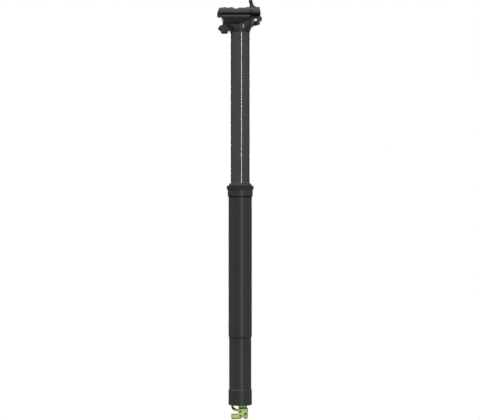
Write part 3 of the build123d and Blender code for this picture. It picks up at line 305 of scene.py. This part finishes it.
# %% A helper for the finishes
EDGE_ROUND = 0.4 * MM
BROAD_GRAIN = 40
GRAIN_DEPTH = 0.2
NOISE_LOW = 0.3
NOISE_HIGH = 0.7


def finish(
    name, colour, metallic, rough, grain=0.4, bump=0.1, tone=0.1, swing=0.06, stretch=(1, 1, 1), shine=0.5
):
    """A metal, rubber or plastic. Tone and swing say how far its colour and roughness wander."""
    material = bpy.data.materials.new(name)
    material.use_nodes = True
    tree = material.node_tree
    shader = tree.nodes["Principled BSDF"]
    shader.inputs["Metallic"].default_value = metallic
    shader.inputs["Specular IOR Level"].default_value = shine
    size = grain * MM
    place = add(tree, "ShaderNodeTexCoord")
    scale = add(tree, "ShaderNodeMapping", {"Scale": stretch})
    fine = add(tree, "ShaderNodeTexNoise", {"Scale": 1 / size, "Detail": 3})
    broad = add(tree, "ShaderNodeTexNoise", {"Scale": 1 / (size * BROAD_GRAIN), "Detail": 2})
    ramp = add(tree, "ShaderNodeValToRGB")
    for stop, where, share in zip(ramp.color_ramp.elements, (NOISE_LOW, NOISE_HIGH), (1 - tone, 1 + tone)):
        stop.position = where
        stop.color = (*[min(1, c * share) for c in colour], 1)
    reach = {"From Min": NOISE_LOW, "From Max": NOISE_HIGH}
    reach.update({"To Min": rough - swing, "To Max": rough + swing})
    spread = add(tree, "ShaderNodeMapRange", reach)
    edge = add(tree, "ShaderNodeBevel", {"Radius": EDGE_ROUND}, samples=4)
    raised = add(tree, "ShaderNodeBump", {"Strength": bump, "Distance": size * GRAIN_DEPTH})
    wire(
        tree,
        (place.outputs["Object"], scale.inputs["Vector"]),
        (scale.outputs["Vector"], fine.inputs["Vector"]),
        (scale.outputs["Vector"], broad.inputs["Vector"]),
        (broad.outputs["Fac"], ramp.inputs["Fac"]),
        (ramp.outputs["Color"], shader.inputs["Base Color"]),
        (fine.outputs["Fac"], spread.inputs["Value"]),
        (spread.outputs["Result"], shader.inputs["Roughness"]),
        (edge.outputs["Normal"], raised.inputs["Normal"]),
        (fine.outputs["Fac"], raised.inputs["Height"]),
        (raised.outputs["Normal"], shader.inputs["Normal"]),
    )
    return material


print("edges rounded over", round(EDGE_ROUND / MM, 2), "mm")

# %% [markdown]
# A finish has to reach the pieces that wear it, and several pieces share one. It could be set on each by
# hand, but a helper takes the names, clears whatever material a piece came with and puts the finish on.
# The mesh itself isn't touched.

# %% A helper that dresses pieces
def wear(material, *names):
    """Gives CAD pieces their finish."""
    for name in names:
        piece = node[name]
        piece.data.materials.clear()
        piece.data.materials.append(material)
    print(material.name, "on", ", ".join(names))


print("pieces to dress", len(node))

# %% [markdown]
# Anodised aluminium is metal under a thin dyed layer. A coat over a metal could copy the layer, but in
# black a plain shader looks the same, and only its share of metal and its roughness matter. The black
# finishes differ in how the metal was prepared. The stanchion is ground smooth and mirrors its
# surroundings, so it is nearly all metal. The outer tube, the collar and the cap have a satin black skin,
# and the last two are turned, with their grain drawn out round the axis. The head and its clamp are
# blasted, which leaves them matt.

# %% Black anodised pieces
TURNED = (1, 1, 6)
DYE = (0.016, 0.016, 0.016)
GROUND = (0.085, 0.085, 0.087)
BLASTED = (0.052, 0.052, 0.053)
BLASTED_PLATE = (0.050, 0.050, 0.051)
SATIN_FEEL = {"metallic": 0, "grain": 0.5, "tone": 0.06, "swing": 0.03}
BLASTED_FEEL = {"metallic": 0.6, "rough": 0.44, "bump": 0.25, "swing": 0.05}
GROUND_FEEL = {"metallic": 0.9, "rough": 0.12, "bump": 0.008, "tone": 0.04, "swing": 0.005}

stanchion_black = finish("stanchion_black", GROUND, **GROUND_FEEL)
tube_black = finish("tube_black", DYE, rough=0.33, shine=0.42, **SATIN_FEEL)
collar_black = finish("collar_black", DYE, rough=0.35, shine=0.42, stretch=TURNED, **SATIN_FEEL)
cap_black = finish("cap_black", DYE, rough=0.38, shine=0.38, stretch=TURNED, **SATIN_FEEL)
head_black = finish("head_black", BLASTED, **BLASTED_FEEL)
clamp_black = finish("clamp_black", BLASTED_PLATE, **BLASTED_FEEL)
wear(stanchion_black, "stanchion")
wear(tube_black, "outer_tube")
wear(collar_black, "collar")
wear(cap_black, "bottom_cap")
wear(head_black, "head", "rail_cradle")
wear(clamp_black, "top_clamp")

# %% [markdown]
# The actuator is machined aluminium under a green dyed layer. As pure metal it would mirror the dark
# ground and turn nearly black, so it is only a third metal here, and the dye carries the colour. Its grain
# is drawn out in one direction, as a cutter leaves it. The carrier is a shade deeper than the lever,
# because two dye baths seldom match.

# %% Green anodised pieces
TOOLED = (0.3, 1, 1)
BRIGHT_GREEN = (0.42, 0.58, 0.16)
DEEP_GREEN = (0.33, 0.45, 0.14)
MACHINED_FEEL = {"metallic": 0.35, "grain": 0.6, "bump": 0.15, "tone": 0.08, "swing": 0.05}
MACHINED_FEEL["stretch"] = TOOLED

actuator_green = finish("actuator_green", BRIGHT_GREEN, rough=0.36, shine=0.7, **MACHINED_FEEL)
carrier_green = finish("carrier_green", DEEP_GREEN, rough=0.38, shine=0.6, **MACHINED_FEEL)
wear(actuator_green, "actuator_lever")
wear(carrier_green, "actuator_carrier")

# %% [markdown]
# The small hardware is steel: black oxide on the bolts and nuts, bright on the washers. The pins of the
# actuator are dark, the lever's with a touch of green. One grey for everything inside would do for this
# picture, but the inner pieces show when the post is taken apart, so they get their own metals: a chromed
# rod, brass keys, and plain turned aluminium for the rest.

# %% Steel, brass and the inner metals
TURNED_INSIDE = (1, 1, 8)
SMALL_GRAIN = {"grain": 0.3, "bump": 0.15}
CHROMED_FEEL = {"rough": 0.12, "bump": 0.02, "tone": 0.03, "swing": 0.02}
TURNED_FEEL = {"rough": 0.33, "tone": 0.05, "swing": 0.05, "stretch": TURNED_INSIDE}

oxide_steel = finish("oxide_steel", (0.035, 0.034, 0.034), metallic=0.8, rough=0.4, **SMALL_GRAIN)
bright_steel = finish("bright_steel", (0.93, 0.93, 0.94), metallic=1, rough=0.22, grain=0.3)
pin_olive = finish("pin_olive", (0.10, 0.15, 0.035), metallic=0.3, rough=0.5, **SMALL_GRAIN)
pin_black = finish("pin_black", (0.009, 0.011, 0.005), metallic=0, rough=0.6, shine=0.2, **SMALL_GRAIN)
chromed_rod = finish("chromed_rod", (0.8, 0.8, 0.82), metallic=1, **CHROMED_FEEL)
inner_metal = finish("inner_metal", (0.66, 0.66, 0.67), metallic=1, **TURNED_FEEL)
key_brass = finish("key_brass", (0.76, 0.56, 0.26), metallic=1, rough=0.3)
wear(oxide_steel, "front_clamp_bolt", "rear_clamp_bolt", "front_barrel_nut", "rear_barrel_nut")
wear(bright_steel, "front_washer", "rear_washer")
wear(pin_olive, "lever_pin")
wear(pin_black, "spring_pin", "push_pin", "spacer_pin")
wear(chromed_rod, "cartridge_rod")
wear(inner_metal, "rod_anchor", "rod_piston", "cartridge_body", "cartridge_sleeve", "cartridge_gland")
wear(inner_metal, "cartridge_plug", "floating_piston", "valve_pin")
wear(key_brass, "guide_keys")

# %% [markdown]
# Rubber and bearing plastic don't mirror much, so their roughness does the work and their metal is zero.
# Rubber is nearly black with a soft skin. The bearing plastic is a dark grey with a faint mould texture.

# %% Rubber and plastic
BLACK_RUBBER = (0.018, 0.018, 0.018)
DARK_PLASTIC = (0.11, 0.11, 0.12)

seal_rubber = finish("seal_rubber", BLACK_RUBBER, metallic=0, rough=0.55, bump=0.2)
bearing_plastic = finish("bearing_plastic", DARK_PLASTIC, metallic=0, rough=0.45, grain=0.5, bump=0.15)
wear(seal_rubber, "wiper_seal", "foot_bumper", "piston_seal", "top_bumper", "rod_seal")
wear(bearing_plastic, "upper_bushing", "lower_bushing", "centring_ring")

# %% [markdown]
# Some pieces change their look at a certain height. They could be cut there or given a second material on
# some faces, but the CAD meshes stay as they are. A mask does it instead, read from object coordinates:
# two heights say where the change begins and ends, and a second mask, along x, keeps it to its place. A
# Compare node gives 1 within a distance of a value, so each mask is a middle and a half. The Mix node
# numbers its sockets: 2 and 3 are its two plain numbers, 6 and 7 its two colours. The sizes are in
# millimetres.

# %% Bands of another tone
EVERYWHERE = 1000


def paint_over(material, mask, colour):
    """Mixes a colour into a finish where a mask is 1."""
    tree = material.node_tree
    base = tree.nodes["Principled BSDF"].inputs["Base Color"]
    blend = add(tree, "ShaderNodeMix", {7: (*colour, 1)}, data_type="RGBA")
    under = base.links[0].from_socket
    wire(tree, (mask, blend.inputs["Factor"]), (under, blend.inputs[6]), (blend.outputs[2], base))


def band(material, low, high, colour, rough, front=-EVERYWHERE, rear=EVERYWHERE):
    """Gives a finish another tone and roughness between two heights, and between two places along x."""
    tree = material.node_tree
    place = add(tree, "ShaderNodeTexCoord")
    split = add(tree, "ShaderNodeSeparateXYZ")
    mask = add(tree, "ShaderNodeMath", operation="MULTIPLY")
    wire(tree, (place.outputs["Object"], split.inputs["Vector"]))
    for way, least, most, socket in (("Z", low, high, mask.inputs[0]), ("X", front, rear, mask.inputs[1])):
        limits = {1: (least + most) / 2 * MM, 2: (most - least) / 2 * MM}
        inside = add(tree, "ShaderNodeMath", limits, operation="COMPARE")
        wire(tree, (split.outputs[way], inside.inputs[0]), (inside.outputs["Value"], socket))
    painted = mask.outputs["Value"]
    paint_over(material, painted, colour)
    feel = tree.nodes["Principled BSDF"].inputs["Roughness"]
    dull = add(tree, "ShaderNodeMix", {3: rough}, data_type="FLOAT")
    under = feel.links[0].from_socket
    wire(tree, (painted, dull.inputs["Factor"]), (under, dull.inputs[2]), (dull.outputs[0], feel))


print("without limits along x a mask reaches", EVERYWHERE, "mm to each side")

# %% [markdown]
# The rim of the collar is blasted for grip. The chamfer at the foot of the head faces down, so it gets a
# dark painted shade, and the neck above it a lighter painted shade. The underside of the plate gets a
# painted shadow, nearly black, and its top a painted shade a little darker than its sides. A lighter patch
# at the seat of the rear bolt is a painted highlight. A painter would mask these off with tape, and the
# bands do the same with two heights.

# %% Bands on the collar, the head and the plate
band(collar_black, 9.4, 14.7, (0.011, 0.011, 0.011), rough=0.75)
# painted shade on the downward chamfer at the foot of the head
band(head_black, 219.8, 225.2, (0.028, 0.028, 0.028), rough=0.5)
# a lighter painted shade on the neck above it
band(head_black, 225.2, 234.5, (0.041, 0.041, 0.041), rough=0.46)
# painted highlight: a lighter patch at the seat of the rear bolt
band(head_black, 231.8, 237.8, (0.11, 0.11, 0.11), rough=0.4, front=15.6, rear=19.5)
# painted shadow, nearly black, on the underside of the plate
band(clamp_black, 231.0, 245.2, (0.007, 0.007, 0.007), rough=0.6)
# painted shade on the top of the plate
band(clamp_black, 249.0, 253.0, (0.034, 0.034, 0.034), rough=0.46)
print("nodes of the head's finish", len(head_black.node_tree.nodes))

# %% [markdown]
# The bar that seats the cable housing gets a painted shade towards its lower edge, where it turns under. The
# hook and the neck of the carrier get a painted shadow close under the cap. One dark green over the whole
# carrier would hide its ear, so the bands keep to the hook and to both flanks of the neck.

# %% Painted shade and shadow on the actuator
# the colour of the painted shadow on the carrier's neck under the cap
NECK_SHADOW_OLIVE = (0.035, 0.052, 0.012)

# painted shade along the lower edge of the bar, in two steps
band(actuator_green, -299.0, -297.9, (0.08, 0.12, 0.03), rough=0.5, rear=1.2)
band(actuator_green, -297.9, -296.2, (0.26, 0.36, 0.09), rough=0.42, rear=-0.5)
# painted shadow on the hook under the cap
band(carrier_green, -286.2, -279.0, (0.018, 0.026, 0.006), rough=0.5, rear=-6)
# painted shadow on both flanks of the carrier's neck under the cap
band(carrier_green, -285.0, -279.0, NECK_SHADOW_OLIVE, rough=0.5, front=7.4)
band(carrier_green, -285.0, -279.0, NECK_SHADOW_OLIVE, rough=0.5, front=-3.5, rear=-1.6)
print("nodes of the carrier's finish", len(carrier_green.node_tree.nodes))

# %% [markdown]
# The actuator gets a painted shade on its upward faces and along its machined edges, darker than its faces.
# Both could be painted by hand, but two nodes find them. The Geometry node gives the way a face points. A
# Bevel node gives the same, rounded near an edge, so where the two differ there is an edge. Their likeness
# is 1 on a flat face and falls towards an edge.

# %% Painted shade on the green, on upward faces and edges
EDGE_DARK = 1.0 * MM
FLAT_LIKENESS = 0.985
EDGE_LIKENESS = 0.86
# the colour of the painted shade on upward faces and edges
OLIVE = (0.045, 0.068, 0.012)


def paint_shade_on_tops_and_edges(material):
    """Paints shade in dark olive on upward faces and along the edges of a finish."""
    tree = material.node_tree
    facing = add(tree, "ShaderNodeNewGeometry")
    split = add(tree, "ShaderNodeSeparateXYZ")
    upward = add(tree, "ShaderNodeMapRange", {"From Min": 0.2, "From Max": 0.7})
    rounded = add(tree, "ShaderNodeBevel", {"Radius": EDGE_DARK}, samples=6)
    alike = add(tree, "ShaderNodeVectorMath", operation="DOT_PRODUCT")
    edges = add(tree, "ShaderNodeMapRange", {"From Min": FLAT_LIKENESS, "From Max": EDGE_LIKENESS})
    either = add(tree, "ShaderNodeMath", operation="MAXIMUM")
    wire(
        tree,
        (facing.outputs["Normal"], split.inputs["Vector"]),
        (split.outputs["Z"], upward.inputs["Value"]),
        (facing.outputs["Normal"], alike.inputs[0]),
        (rounded.outputs["Normal"], alike.inputs[1]),
        (alike.outputs["Value"], edges.inputs["Value"]),
        (upward.outputs["Result"], either.inputs[0]),
        (edges.outputs["Result"], either.inputs[1]),
    )
    paint_over(material, either.outputs["Value"], OLIVE)
    print(material.name, "has dark edges")


# painted shade on the tops and edges of the lever and the carrier
paint_shade_on_tops_and_edges(actuator_green)
paint_shade_on_tops_and_edges(carrier_green)

# %% [markdown]
# Small details are pieces of their own. They could be cut into the CAD pieces, but those stay as they are,
# and a piece of its own can ride on a body, so it moves with what carries it. Whatever its shape, each
# detail ends the same way: its normals are turned outwards, its mesh becomes an object with a finish, and
# the frame is told which body carries it.

# %% A way to keep a piece
def keep(name, bm, material, body, smooth=True):
    """Makes an object of a closed skin, in its finish, that rides on a body."""
    bmesh.ops.recalc_face_normals(bm, faces=bm.faces)
    for face in bm.faces:
        face.smooth = smooth
    mesh = bpy.data.meshes.new(name)
    bm.to_mesh(mesh)
    bm.free()
    piece = bpy.data.objects.new(name, mesh)
    bpy.context.scene.collection.objects.link(piece)
    piece.data.materials.append(material)
    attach(piece, body)
    return piece


# %% [markdown]
# Most details of a bicycle part are turned, so the first tool is a lathe. Blender's torus and cylinder
# would do for plain rings, but a profile spun round an axis makes every ring and button, with its own
# section, as a closed skin. The sizes are in millimetres, as on a drawing: pairs of radius and height.

# %% A lathe
UP = Vector((0, 0, 1))


def lathe(profile, centre=(0, 0, 0), axis=UP, steps=128):
    """Spins pairs of radius and height. Ends on the axis give a button, else they join to a ring."""
    bm = bmesh.new()
    lean = UP.rotation_difference(Vector(axis))
    middle = Vector(centre)
    line = []
    for radius, height in profile:
        line.append(bm.verts.new((middle + lean @ Vector((radius, 0, height))) * MM))
    pairs = list(zip(line, line[1:]))
    if profile[0][0] > 0:
        pairs.append((line[-1], line[0]))
    edges = [bm.edges.new(pair) for pair in pairs]
    spin = {"cent": middle * MM, "axis": lean @ UP, "angle": 2 * math.pi, "steps": steps}
    bmesh.ops.spin(bm, geom=line + edges, use_merge=True, **spin)
    bmesh.ops.remove_doubles(bm, verts=bm.verts, dist=1e-7)
    return bm


def oval(radius, height, half_wide, half_tall, points=14):
    """An oval profile about a radius and a height."""
    turns = [2 * math.pi * k / points for k in range(points)]
    return [(radius + half_wide * math.cos(t), height + half_tall * math.sin(t)) for t in turns]


print("an oval profile has", len(oval(1, 0, 0.1, 0.1)), "points")

# %% [markdown]
# The wiper keeps mud out. It has a shoulder that stands on the collar and a thin lip, smooth and always a
# little greasy, so it is the one glossy line between the stanchion and the collar. A ring could start as a
# torus, but a drawn profile says more: the shoulder slopes inwards in short steps up to the lip.

# %% Wiper
WIPER_FOOT = ((13.2, 14.8), (15.45, 14.8), (15.5, 15.6), (15.4, 16.25))
WIPER_BROW = ((15.1, 16.7), (14.6, 17.05), (14.0, 17.5), (13.2, 17.9))
LIP_RADIUS = 13.7

lip_rubber = finish("lip_rubber", (0.045, 0.045, 0.045), metallic=0, rough=0.16, bump=0.05, shine=1.0)
wiper_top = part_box("wiper_seal")[1].z / MM
keep("wiper_shoulder", lathe(WIPER_FOOT + WIPER_BROW), seal_rubber, "lower")
keep("wiper_lip", lathe(oval(LIP_RADIUS, wiper_top, 0.62, 0.5)), lip_rubber, "lower")
print("wiper top", round(wiper_top, 2), "mm")

# %% [markdown]
# A thin black ring under the collar is a painted shadow of its chamfer. A narrow undercut at the step of the
# outer tube, where the grinding wheel ran out, would hold shade, and a second thin black ring is that
# painted shade. A real groove there would mean a cut in the tube. At this size a thin black ring, almost
# flush with the tube, looks the same.

# %% Painted shadow under the collar and painted shade at the undercut of the tube
COLLAR_SHADOW_RING = oval(15.95, -0.35, 0.35, 0.45)
STEP_UNDERCUT = oval(15.02, -189.1, 0.18, 0.42)

# black rings as painted shadow under the collar and painted shade at the step
shade_ring_black = finish("shade_ring_black", (0.004, 0.004, 0.004), metallic=0, rough=0.7, shine=0.1)
keep("collar_shadow_ring", lathe(COLLAR_SHADOW_RING), shade_ring_black, "lower")
keep("step_undercut", lathe(STEP_UNDERCUT), shade_ring_black, "lower")
print("undercut at", STEP_UNDERCUT[0][1], "mm")

# %% [markdown]
# The rim is what a hand turns to take the post apart, so fine upright ribs stand on it. A bump in the
# material could fake them, but only real geometry shows in the outline and survives the export. A thin
# sleeve comes off the lathe, and then its outer points move out and in round the axis.

# %% Ribs on the rim of the collar
RIM_RADIUS = 18.0
RIM_LOW = 9.9
RIM_HIGH = 14.2
RIM_SLOPE = 0.35
RIM_DEPTH = 0.3
RIBS = 126
RIB_HEIGHT = 0.1
POINTS_PER_RIB = 8

inner = RIM_RADIUS - RIM_DEPTH
foot = RIM_RADIUS - 0.05
crest = RIM_RADIUS + 0.02
rim_profile = [(inner, RIM_LOW), (foot, RIM_LOW), (crest, RIM_LOW + RIM_SLOPE)]
rim_profile += [(crest, RIM_HIGH - RIM_SLOPE), (foot, RIM_HIGH), (inner, RIM_HIGH)]
bm = lathe(rim_profile, steps=RIBS * POINTS_PER_RIB)
for point in bm.verts:
    radius = math.hypot(point.co.x, point.co.y)
    if radius > RIM_RADIUS * MM:
        wave = 0.5 - 0.5 * math.cos(RIBS * math.atan2(point.co.y, point.co.x))
        out_way = Vector((point.co.x, point.co.y, 0)) / radius
        point.co += out_way * RIB_HEIGHT * wave * MM
keep("collar_ribs", bm, collar_black, "lower", smooth=False)
print("ribs every", round(2 * math.pi * RIM_RADIUS / RIBS, 2), "mm")

# %% [markdown]
# What isn't turned is drawn as a row of sections, like the ribs of a hull, and a loft lays a skin over
# them. A modifier could do it along a curve, but here the sections can change on the way, and both ends
# are closed without more work. The next pieces are made this way: a mark, two threads, a bellows and two
# bars.

# %% A loft
SIDEWAYS = Vector((0, 1, 0))


def loft(sections):
    """Joins closed sections, each a list of points, and closes both ends."""
    bm = bmesh.new()
    rings = [[bm.verts.new(point * MM) for point in section] for section in sections]
    for here, there in zip(rings, rings[1:]):
        for k in range(len(here)):
            n = (k + 1) % len(here)
            bm.faces.new((here[k], here[n], there[n], there[k]))
    bm.faces.new(rings[0][::-1])
    bm.faces.new(rings[-1])
    return bm


print("the post is seen along", tuple(SIDEWAYS))

# %% [markdown]
# A short upright mark on the neck shows which way the head faces. A strip of another colour would stay
# flat, so it is a small polished land that catches the tall strip, while the blasted metal round it stays
# dark. The neck curves both ways, so a grid of points is dropped on the head with a ray cast and lifted a
# little in the middle. That way the land follows the surface that it stands on.

# %% Mark on the neck
MARK_X = 4.3
MARK_LOW = 225.9
MARK_HIGH = 231.4
MARK_WIDTH = 1.7
MARK_RISE = 0.3
MARK_SUNK = 0.06
MARK_BACK = 0.4
MARK_ROUND = 0.6
MARK_ENDS = 8
ACROSS = 9
ALONG = 17
RAY_START = -100
POLISHED_FEEL = {"metallic": 0.9, "rough": 0.38, "grain": 0.3, "bump": 0.03, "tone": 0.04, "swing": 0.02}

polished_land = finish("polished_land", (0.42, 0.42, 0.43), **POLISHED_FEEL)
bpy.context.view_layer.update()
sections = []
for i in range(ALONG):
    v = i / (ALONG - 1)
    z = MARK_LOW + (MARK_HIGH - MARK_LOW) * v
    front = []
    for j in range(ACROSS):
        u = j / (ACROSS - 1)
        start = Vector((MARK_X + (u - 0.5) * MARK_WIDTH, RAY_START, z)) * MM
        spot = node["head"].ray_cast(start, SIDEWAYS)[1]
        dome = math.sin(math.pi * u) ** MARK_ROUND * min(1, MARK_ENDS * v, MARK_ENDS * (1 - v))
        lift = dome * MARK_RISE - MARK_SUNK * (1 - dome)
        front.append(spot / MM - SIDEWAYS * lift)
    back = [point + SIDEWAYS * MARK_BACK for point in reversed(front)]
    sections.append(front + back)
mark = keep("neck_mark", loft(sections), polished_land, "post")
polished_only.objects.link(mark)
print("mark", round(mark.dimensions.x / MM, 2), "by", round(mark.dimensions.z / MM, 2), "mm")

# %% [markdown]
# The clamp bolts are threaded. Rings stacked along the shank are the quick way, but they don't climb, and
# a close look shows it. A thread is a ridge that climbs round the shank, so here it is a row of small
# triangles along a helix, for the loft. It fades in over its first turn and out over its last, as a cut
# thread does. It stands less proud of the shank than the gap in the nuts, because it runs into the nuts
# when the saddle tilts.

# %% A helical ridge
BOLT_RADIUS = 2.5
PITCH = 0.8
PER_TURN = 28
TOOTH_HALF = 0.4 * PITCH
TOOTH_PROUD = 0.03
TOOTH_FADED = 0.03
TOOTH_SUNK = 0.04


def thread(foot, along, length):
    """The sections of a helical ridge from a foot along a shank."""
    front = SIDEWAYS.cross(along)
    total = int(length / PITCH * PER_TURN)
    low = BOLT_RADIUS - TOOTH_SUNK
    sections = []
    for k in range(total + 1):
        turn = 2 * math.pi * k / PER_TURN
        out_way = front * math.cos(turn) + SIDEWAYS * math.sin(turn)
        climb = foot + along * (PITCH * k / PER_TURN)
        fade = min(1.0, k / PER_TURN, (total - k) / PER_TURN)
        top = BOLT_RADIUS - TOOTH_FADED + (TOOTH_FADED + TOOTH_PROUD) * fade
        tooth = ((low, -TOOTH_HALF), (top, 0), (low, TOOTH_HALF))
        sections.append([climb + out_way * reach + along * rise for reach, rise in tooth])
    return sections


print("tooth", round(TOOTH_SUNK + TOOTH_PROUD, 2), "mm high and", round(2 * TOOTH_HALF, 2), "mm wide")

# %% [markdown]
# The front thread lies between the head and the plate. The rear bolt leans, and its thread is on the end
# that stands out above its nut. A screw joint could turn the threads as the bolts travel, but at this size
# the turning can't be seen, so each thread only rides on its bolt.

# %% Threads on the clamp bolts
REAR_LEAN = math.radians(14.6)
REAR_SEAT = Vector((21.5, 0, 234.2))
REAR_REACH = 24.2
REAR_LENGTH = 6.6
FRONT_BOLT_X = -21.2
FRONT_START = Vector((FRONT_BOLT_X, 0, 234.5))
FRONT_LENGTH = 11.0

rear_way = Vector((-math.sin(REAR_LEAN), 0, math.cos(REAR_LEAN)))
rear_thread = loft(thread(REAR_SEAT + rear_way * REAR_REACH, rear_way, REAR_LENGTH))
front_thread = loft(thread(FRONT_START, UP, FRONT_LENGTH))
keep("rear_bolt_thread", rear_thread, oxide_steel, "rear_bolt", smooth=False)
keep("front_bolt_thread", front_thread, oxide_steel, "front_bolt", smooth=False)
print("turns", round(REAR_LENGTH / PITCH, 1), "and", round(FRONT_LENGTH / PITCH, 1))

# %% [markdown]
# A rubber bellows fills the gap between the neck of the actuator and the lever, and keeps grit off the
# valve rod. It is soft and can't turn with the lever, so it doesn't ride on it. Its rings are rounded
# squares, which go in and out by turns.

# %% Dust bellows
BELLOWS_X = 2.3
BELLOWS_TOP = -282.9
BELLOWS_HALF = (4.2, 4.7)
BELLOWS_POINTS = 40
SQUARENESS = 5
VALLEY_SHARE = 0.9
FOLD_DROPS = (0.0, 0.3, 0.65, 1.0, 1.35, 1.7, 2.0)

sections = []
for number, drop in enumerate(FOLD_DROPS):
    share = 1.0 if number % 2 else VALLEY_SHARE
    ring = []
    for k in range(BELLOWS_POINTS):
        c = math.cos(2 * math.pi * k / BELLOWS_POINTS)
        q = math.sin(2 * math.pi * k / BELLOWS_POINTS)
        reach = (abs(c) ** SQUARENESS + abs(q) ** SQUARENESS) ** (-1 / SQUARENESS) * share
        x = BELLOWS_X + BELLOWS_HALF[0] * reach * c
        y = BELLOWS_HALF[1] * reach * q
        ring.append(Vector((x, y, BELLOWS_TOP - drop)))
    sections.append(ring)
bellows = keep("dust_bellows", loft(sections), seal_rubber, "lower", smooth=False)
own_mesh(bellows)
print("bellows rings", len(FOLD_DROPS))

# %% [markdown]
# A thin dark bar on each cheek of the lever, along the slanting edge by the pivot, is the painted shadow
# that the cheek's edge casts, dark like the painted shade on the other edges, and it turns with the lever.
# The holes of the two pins in the lever have countersinks. A hollow would mean a cut in the lever, so they
# are shallow buttons painted black for the shade in a hollow.

# %% Painted shadow line and countersinks of the lever
SHADOW_LINE_FROM = Vector((0.7, 0, -297.9))
SHADOW_LINE_TO = Vector((6.6, 0, -291.6))
SHADOW_LINE_HALF = 0.55
SHADOW_LINE_PARTS = 12
SHADOW_LINE_TAPER = 6
SHADOW_LINE_TIP = 0.35
SHADOW_LINE_SECTION = ((-1, -0.1), (-0.6, 0.07), (0.6, 0.07), (1, -0.1))
CHEEK = 4.9
SIDES = (("left", -1), ("right", 1))
SINK_BUTTON = ((0, -0.1), (1.32, -0.1), (1.32, 0.03), (0.92, 0.05), (0, 0.05))
PIN_HEIGHTS = (("push", -288.6), ("spacer", -294.3))
BUTTON_STEPS = 48

# a dark bar as painted shadow along the slanting edge of each cheek
edge_shadow_olive = finish("edge_shadow_olive", (0.022, 0.034, 0.007), metallic=0.1, rough=0.5)
run = SHADOW_LINE_TO - SHADOW_LINE_FROM
aside = run.cross(SIDEWAYS).normalized() * SHADOW_LINE_HALF
for side_name, side in SIDES:
    sections = []
    for t in range(SHADOW_LINE_PARTS + 1):
        share = t / SHADOW_LINE_PARTS
        narrow = SHADOW_LINE_TIP + (1 - SHADOW_LINE_TIP) * min(1, SHADOW_LINE_TAPER * share, SHADOW_LINE_TAPER * (1 - share))
        middle = SHADOW_LINE_FROM + run * share
        section = []
        for push, lift in SHADOW_LINE_SECTION:
            section.append(middle + aside * push * narrow + SIDEWAYS * side * (CHEEK + lift))
        sections.append(section)
    name = "lever_shadow_line_" + side_name
    keep(name, loft(sections), edge_shadow_olive, "lever", smooth=False)
    # black buttons as painted shade in the countersinks
    for pin_name, height in PIN_HEIGHTS:
        button = lathe(SINK_BUTTON, (0, side * CHEEK, height), SIDEWAYS * side, BUTTON_STEPS)
        keep(pin_name + "_countersink_" + side_name, button, pin_black, "lever")
# the length of the painted shadow line
print("step length", round(run.length, 2), "mm")

# %% [markdown]
# Two small things finish the head. A bright flange washer sits under the head of the front bolt, and on
# each side of the plate there is a dimple with a raised rim, where a pin pushed the forging out of its
# die. The dimple itself is a shallow black button, painted shade where a hollow would be. All of them are
# turned shapes, so the lathe makes them, and the dimple's axis points sideways.

# %% Flange washer and dimples
FLANGE_PLACE = (FRONT_BOLT_X, 0, 222.45)
FLANGE_OVAL = oval(4.55, 0, 0.42, 0.3, 12)
DIMPLE_X = 14.3
DIMPLE_Z = 246.4
DIMPLE_RIM = oval(1.15, 0, 0.18, 0.12, 12)
DIMPLE_PIT = ((0, -0.1), (0.95, -0.1), (0.95, 0.02), (0.57, 0.04), (0, 0.04))
PLATE_SIDE = 26.98
RING_STEPS = 64

flange = lathe(FLANGE_OVAL, FLANGE_PLACE, steps=RING_STEPS)
keep("front_flange", flange, bright_steel, "front_bolt")
# nearly black, as painted shade in the dimples
pit_black = finish("pit_black", (0.004, 0.004, 0.004), metallic=0, rough=0.8, grain=0.3, shine=0.1)
for side_name, side in SIDES:
    middle = (DIMPLE_X, side * PLATE_SIDE, DIMPLE_Z)
    rim = lathe(DIMPLE_RIM, middle, SIDEWAYS * side, RING_STEPS)
    keep("dimple_rim_" + side_name, rim, clamp_black, "clamp")
    pit = lathe(DIMPLE_PIT, middle, SIDEWAYS * side, BUTTON_STEPS)
    keep("dimple_pit_" + side_name, pit, pit_black, "clamp")
print("rings and pits", 1 + 2 * len(SIDES))
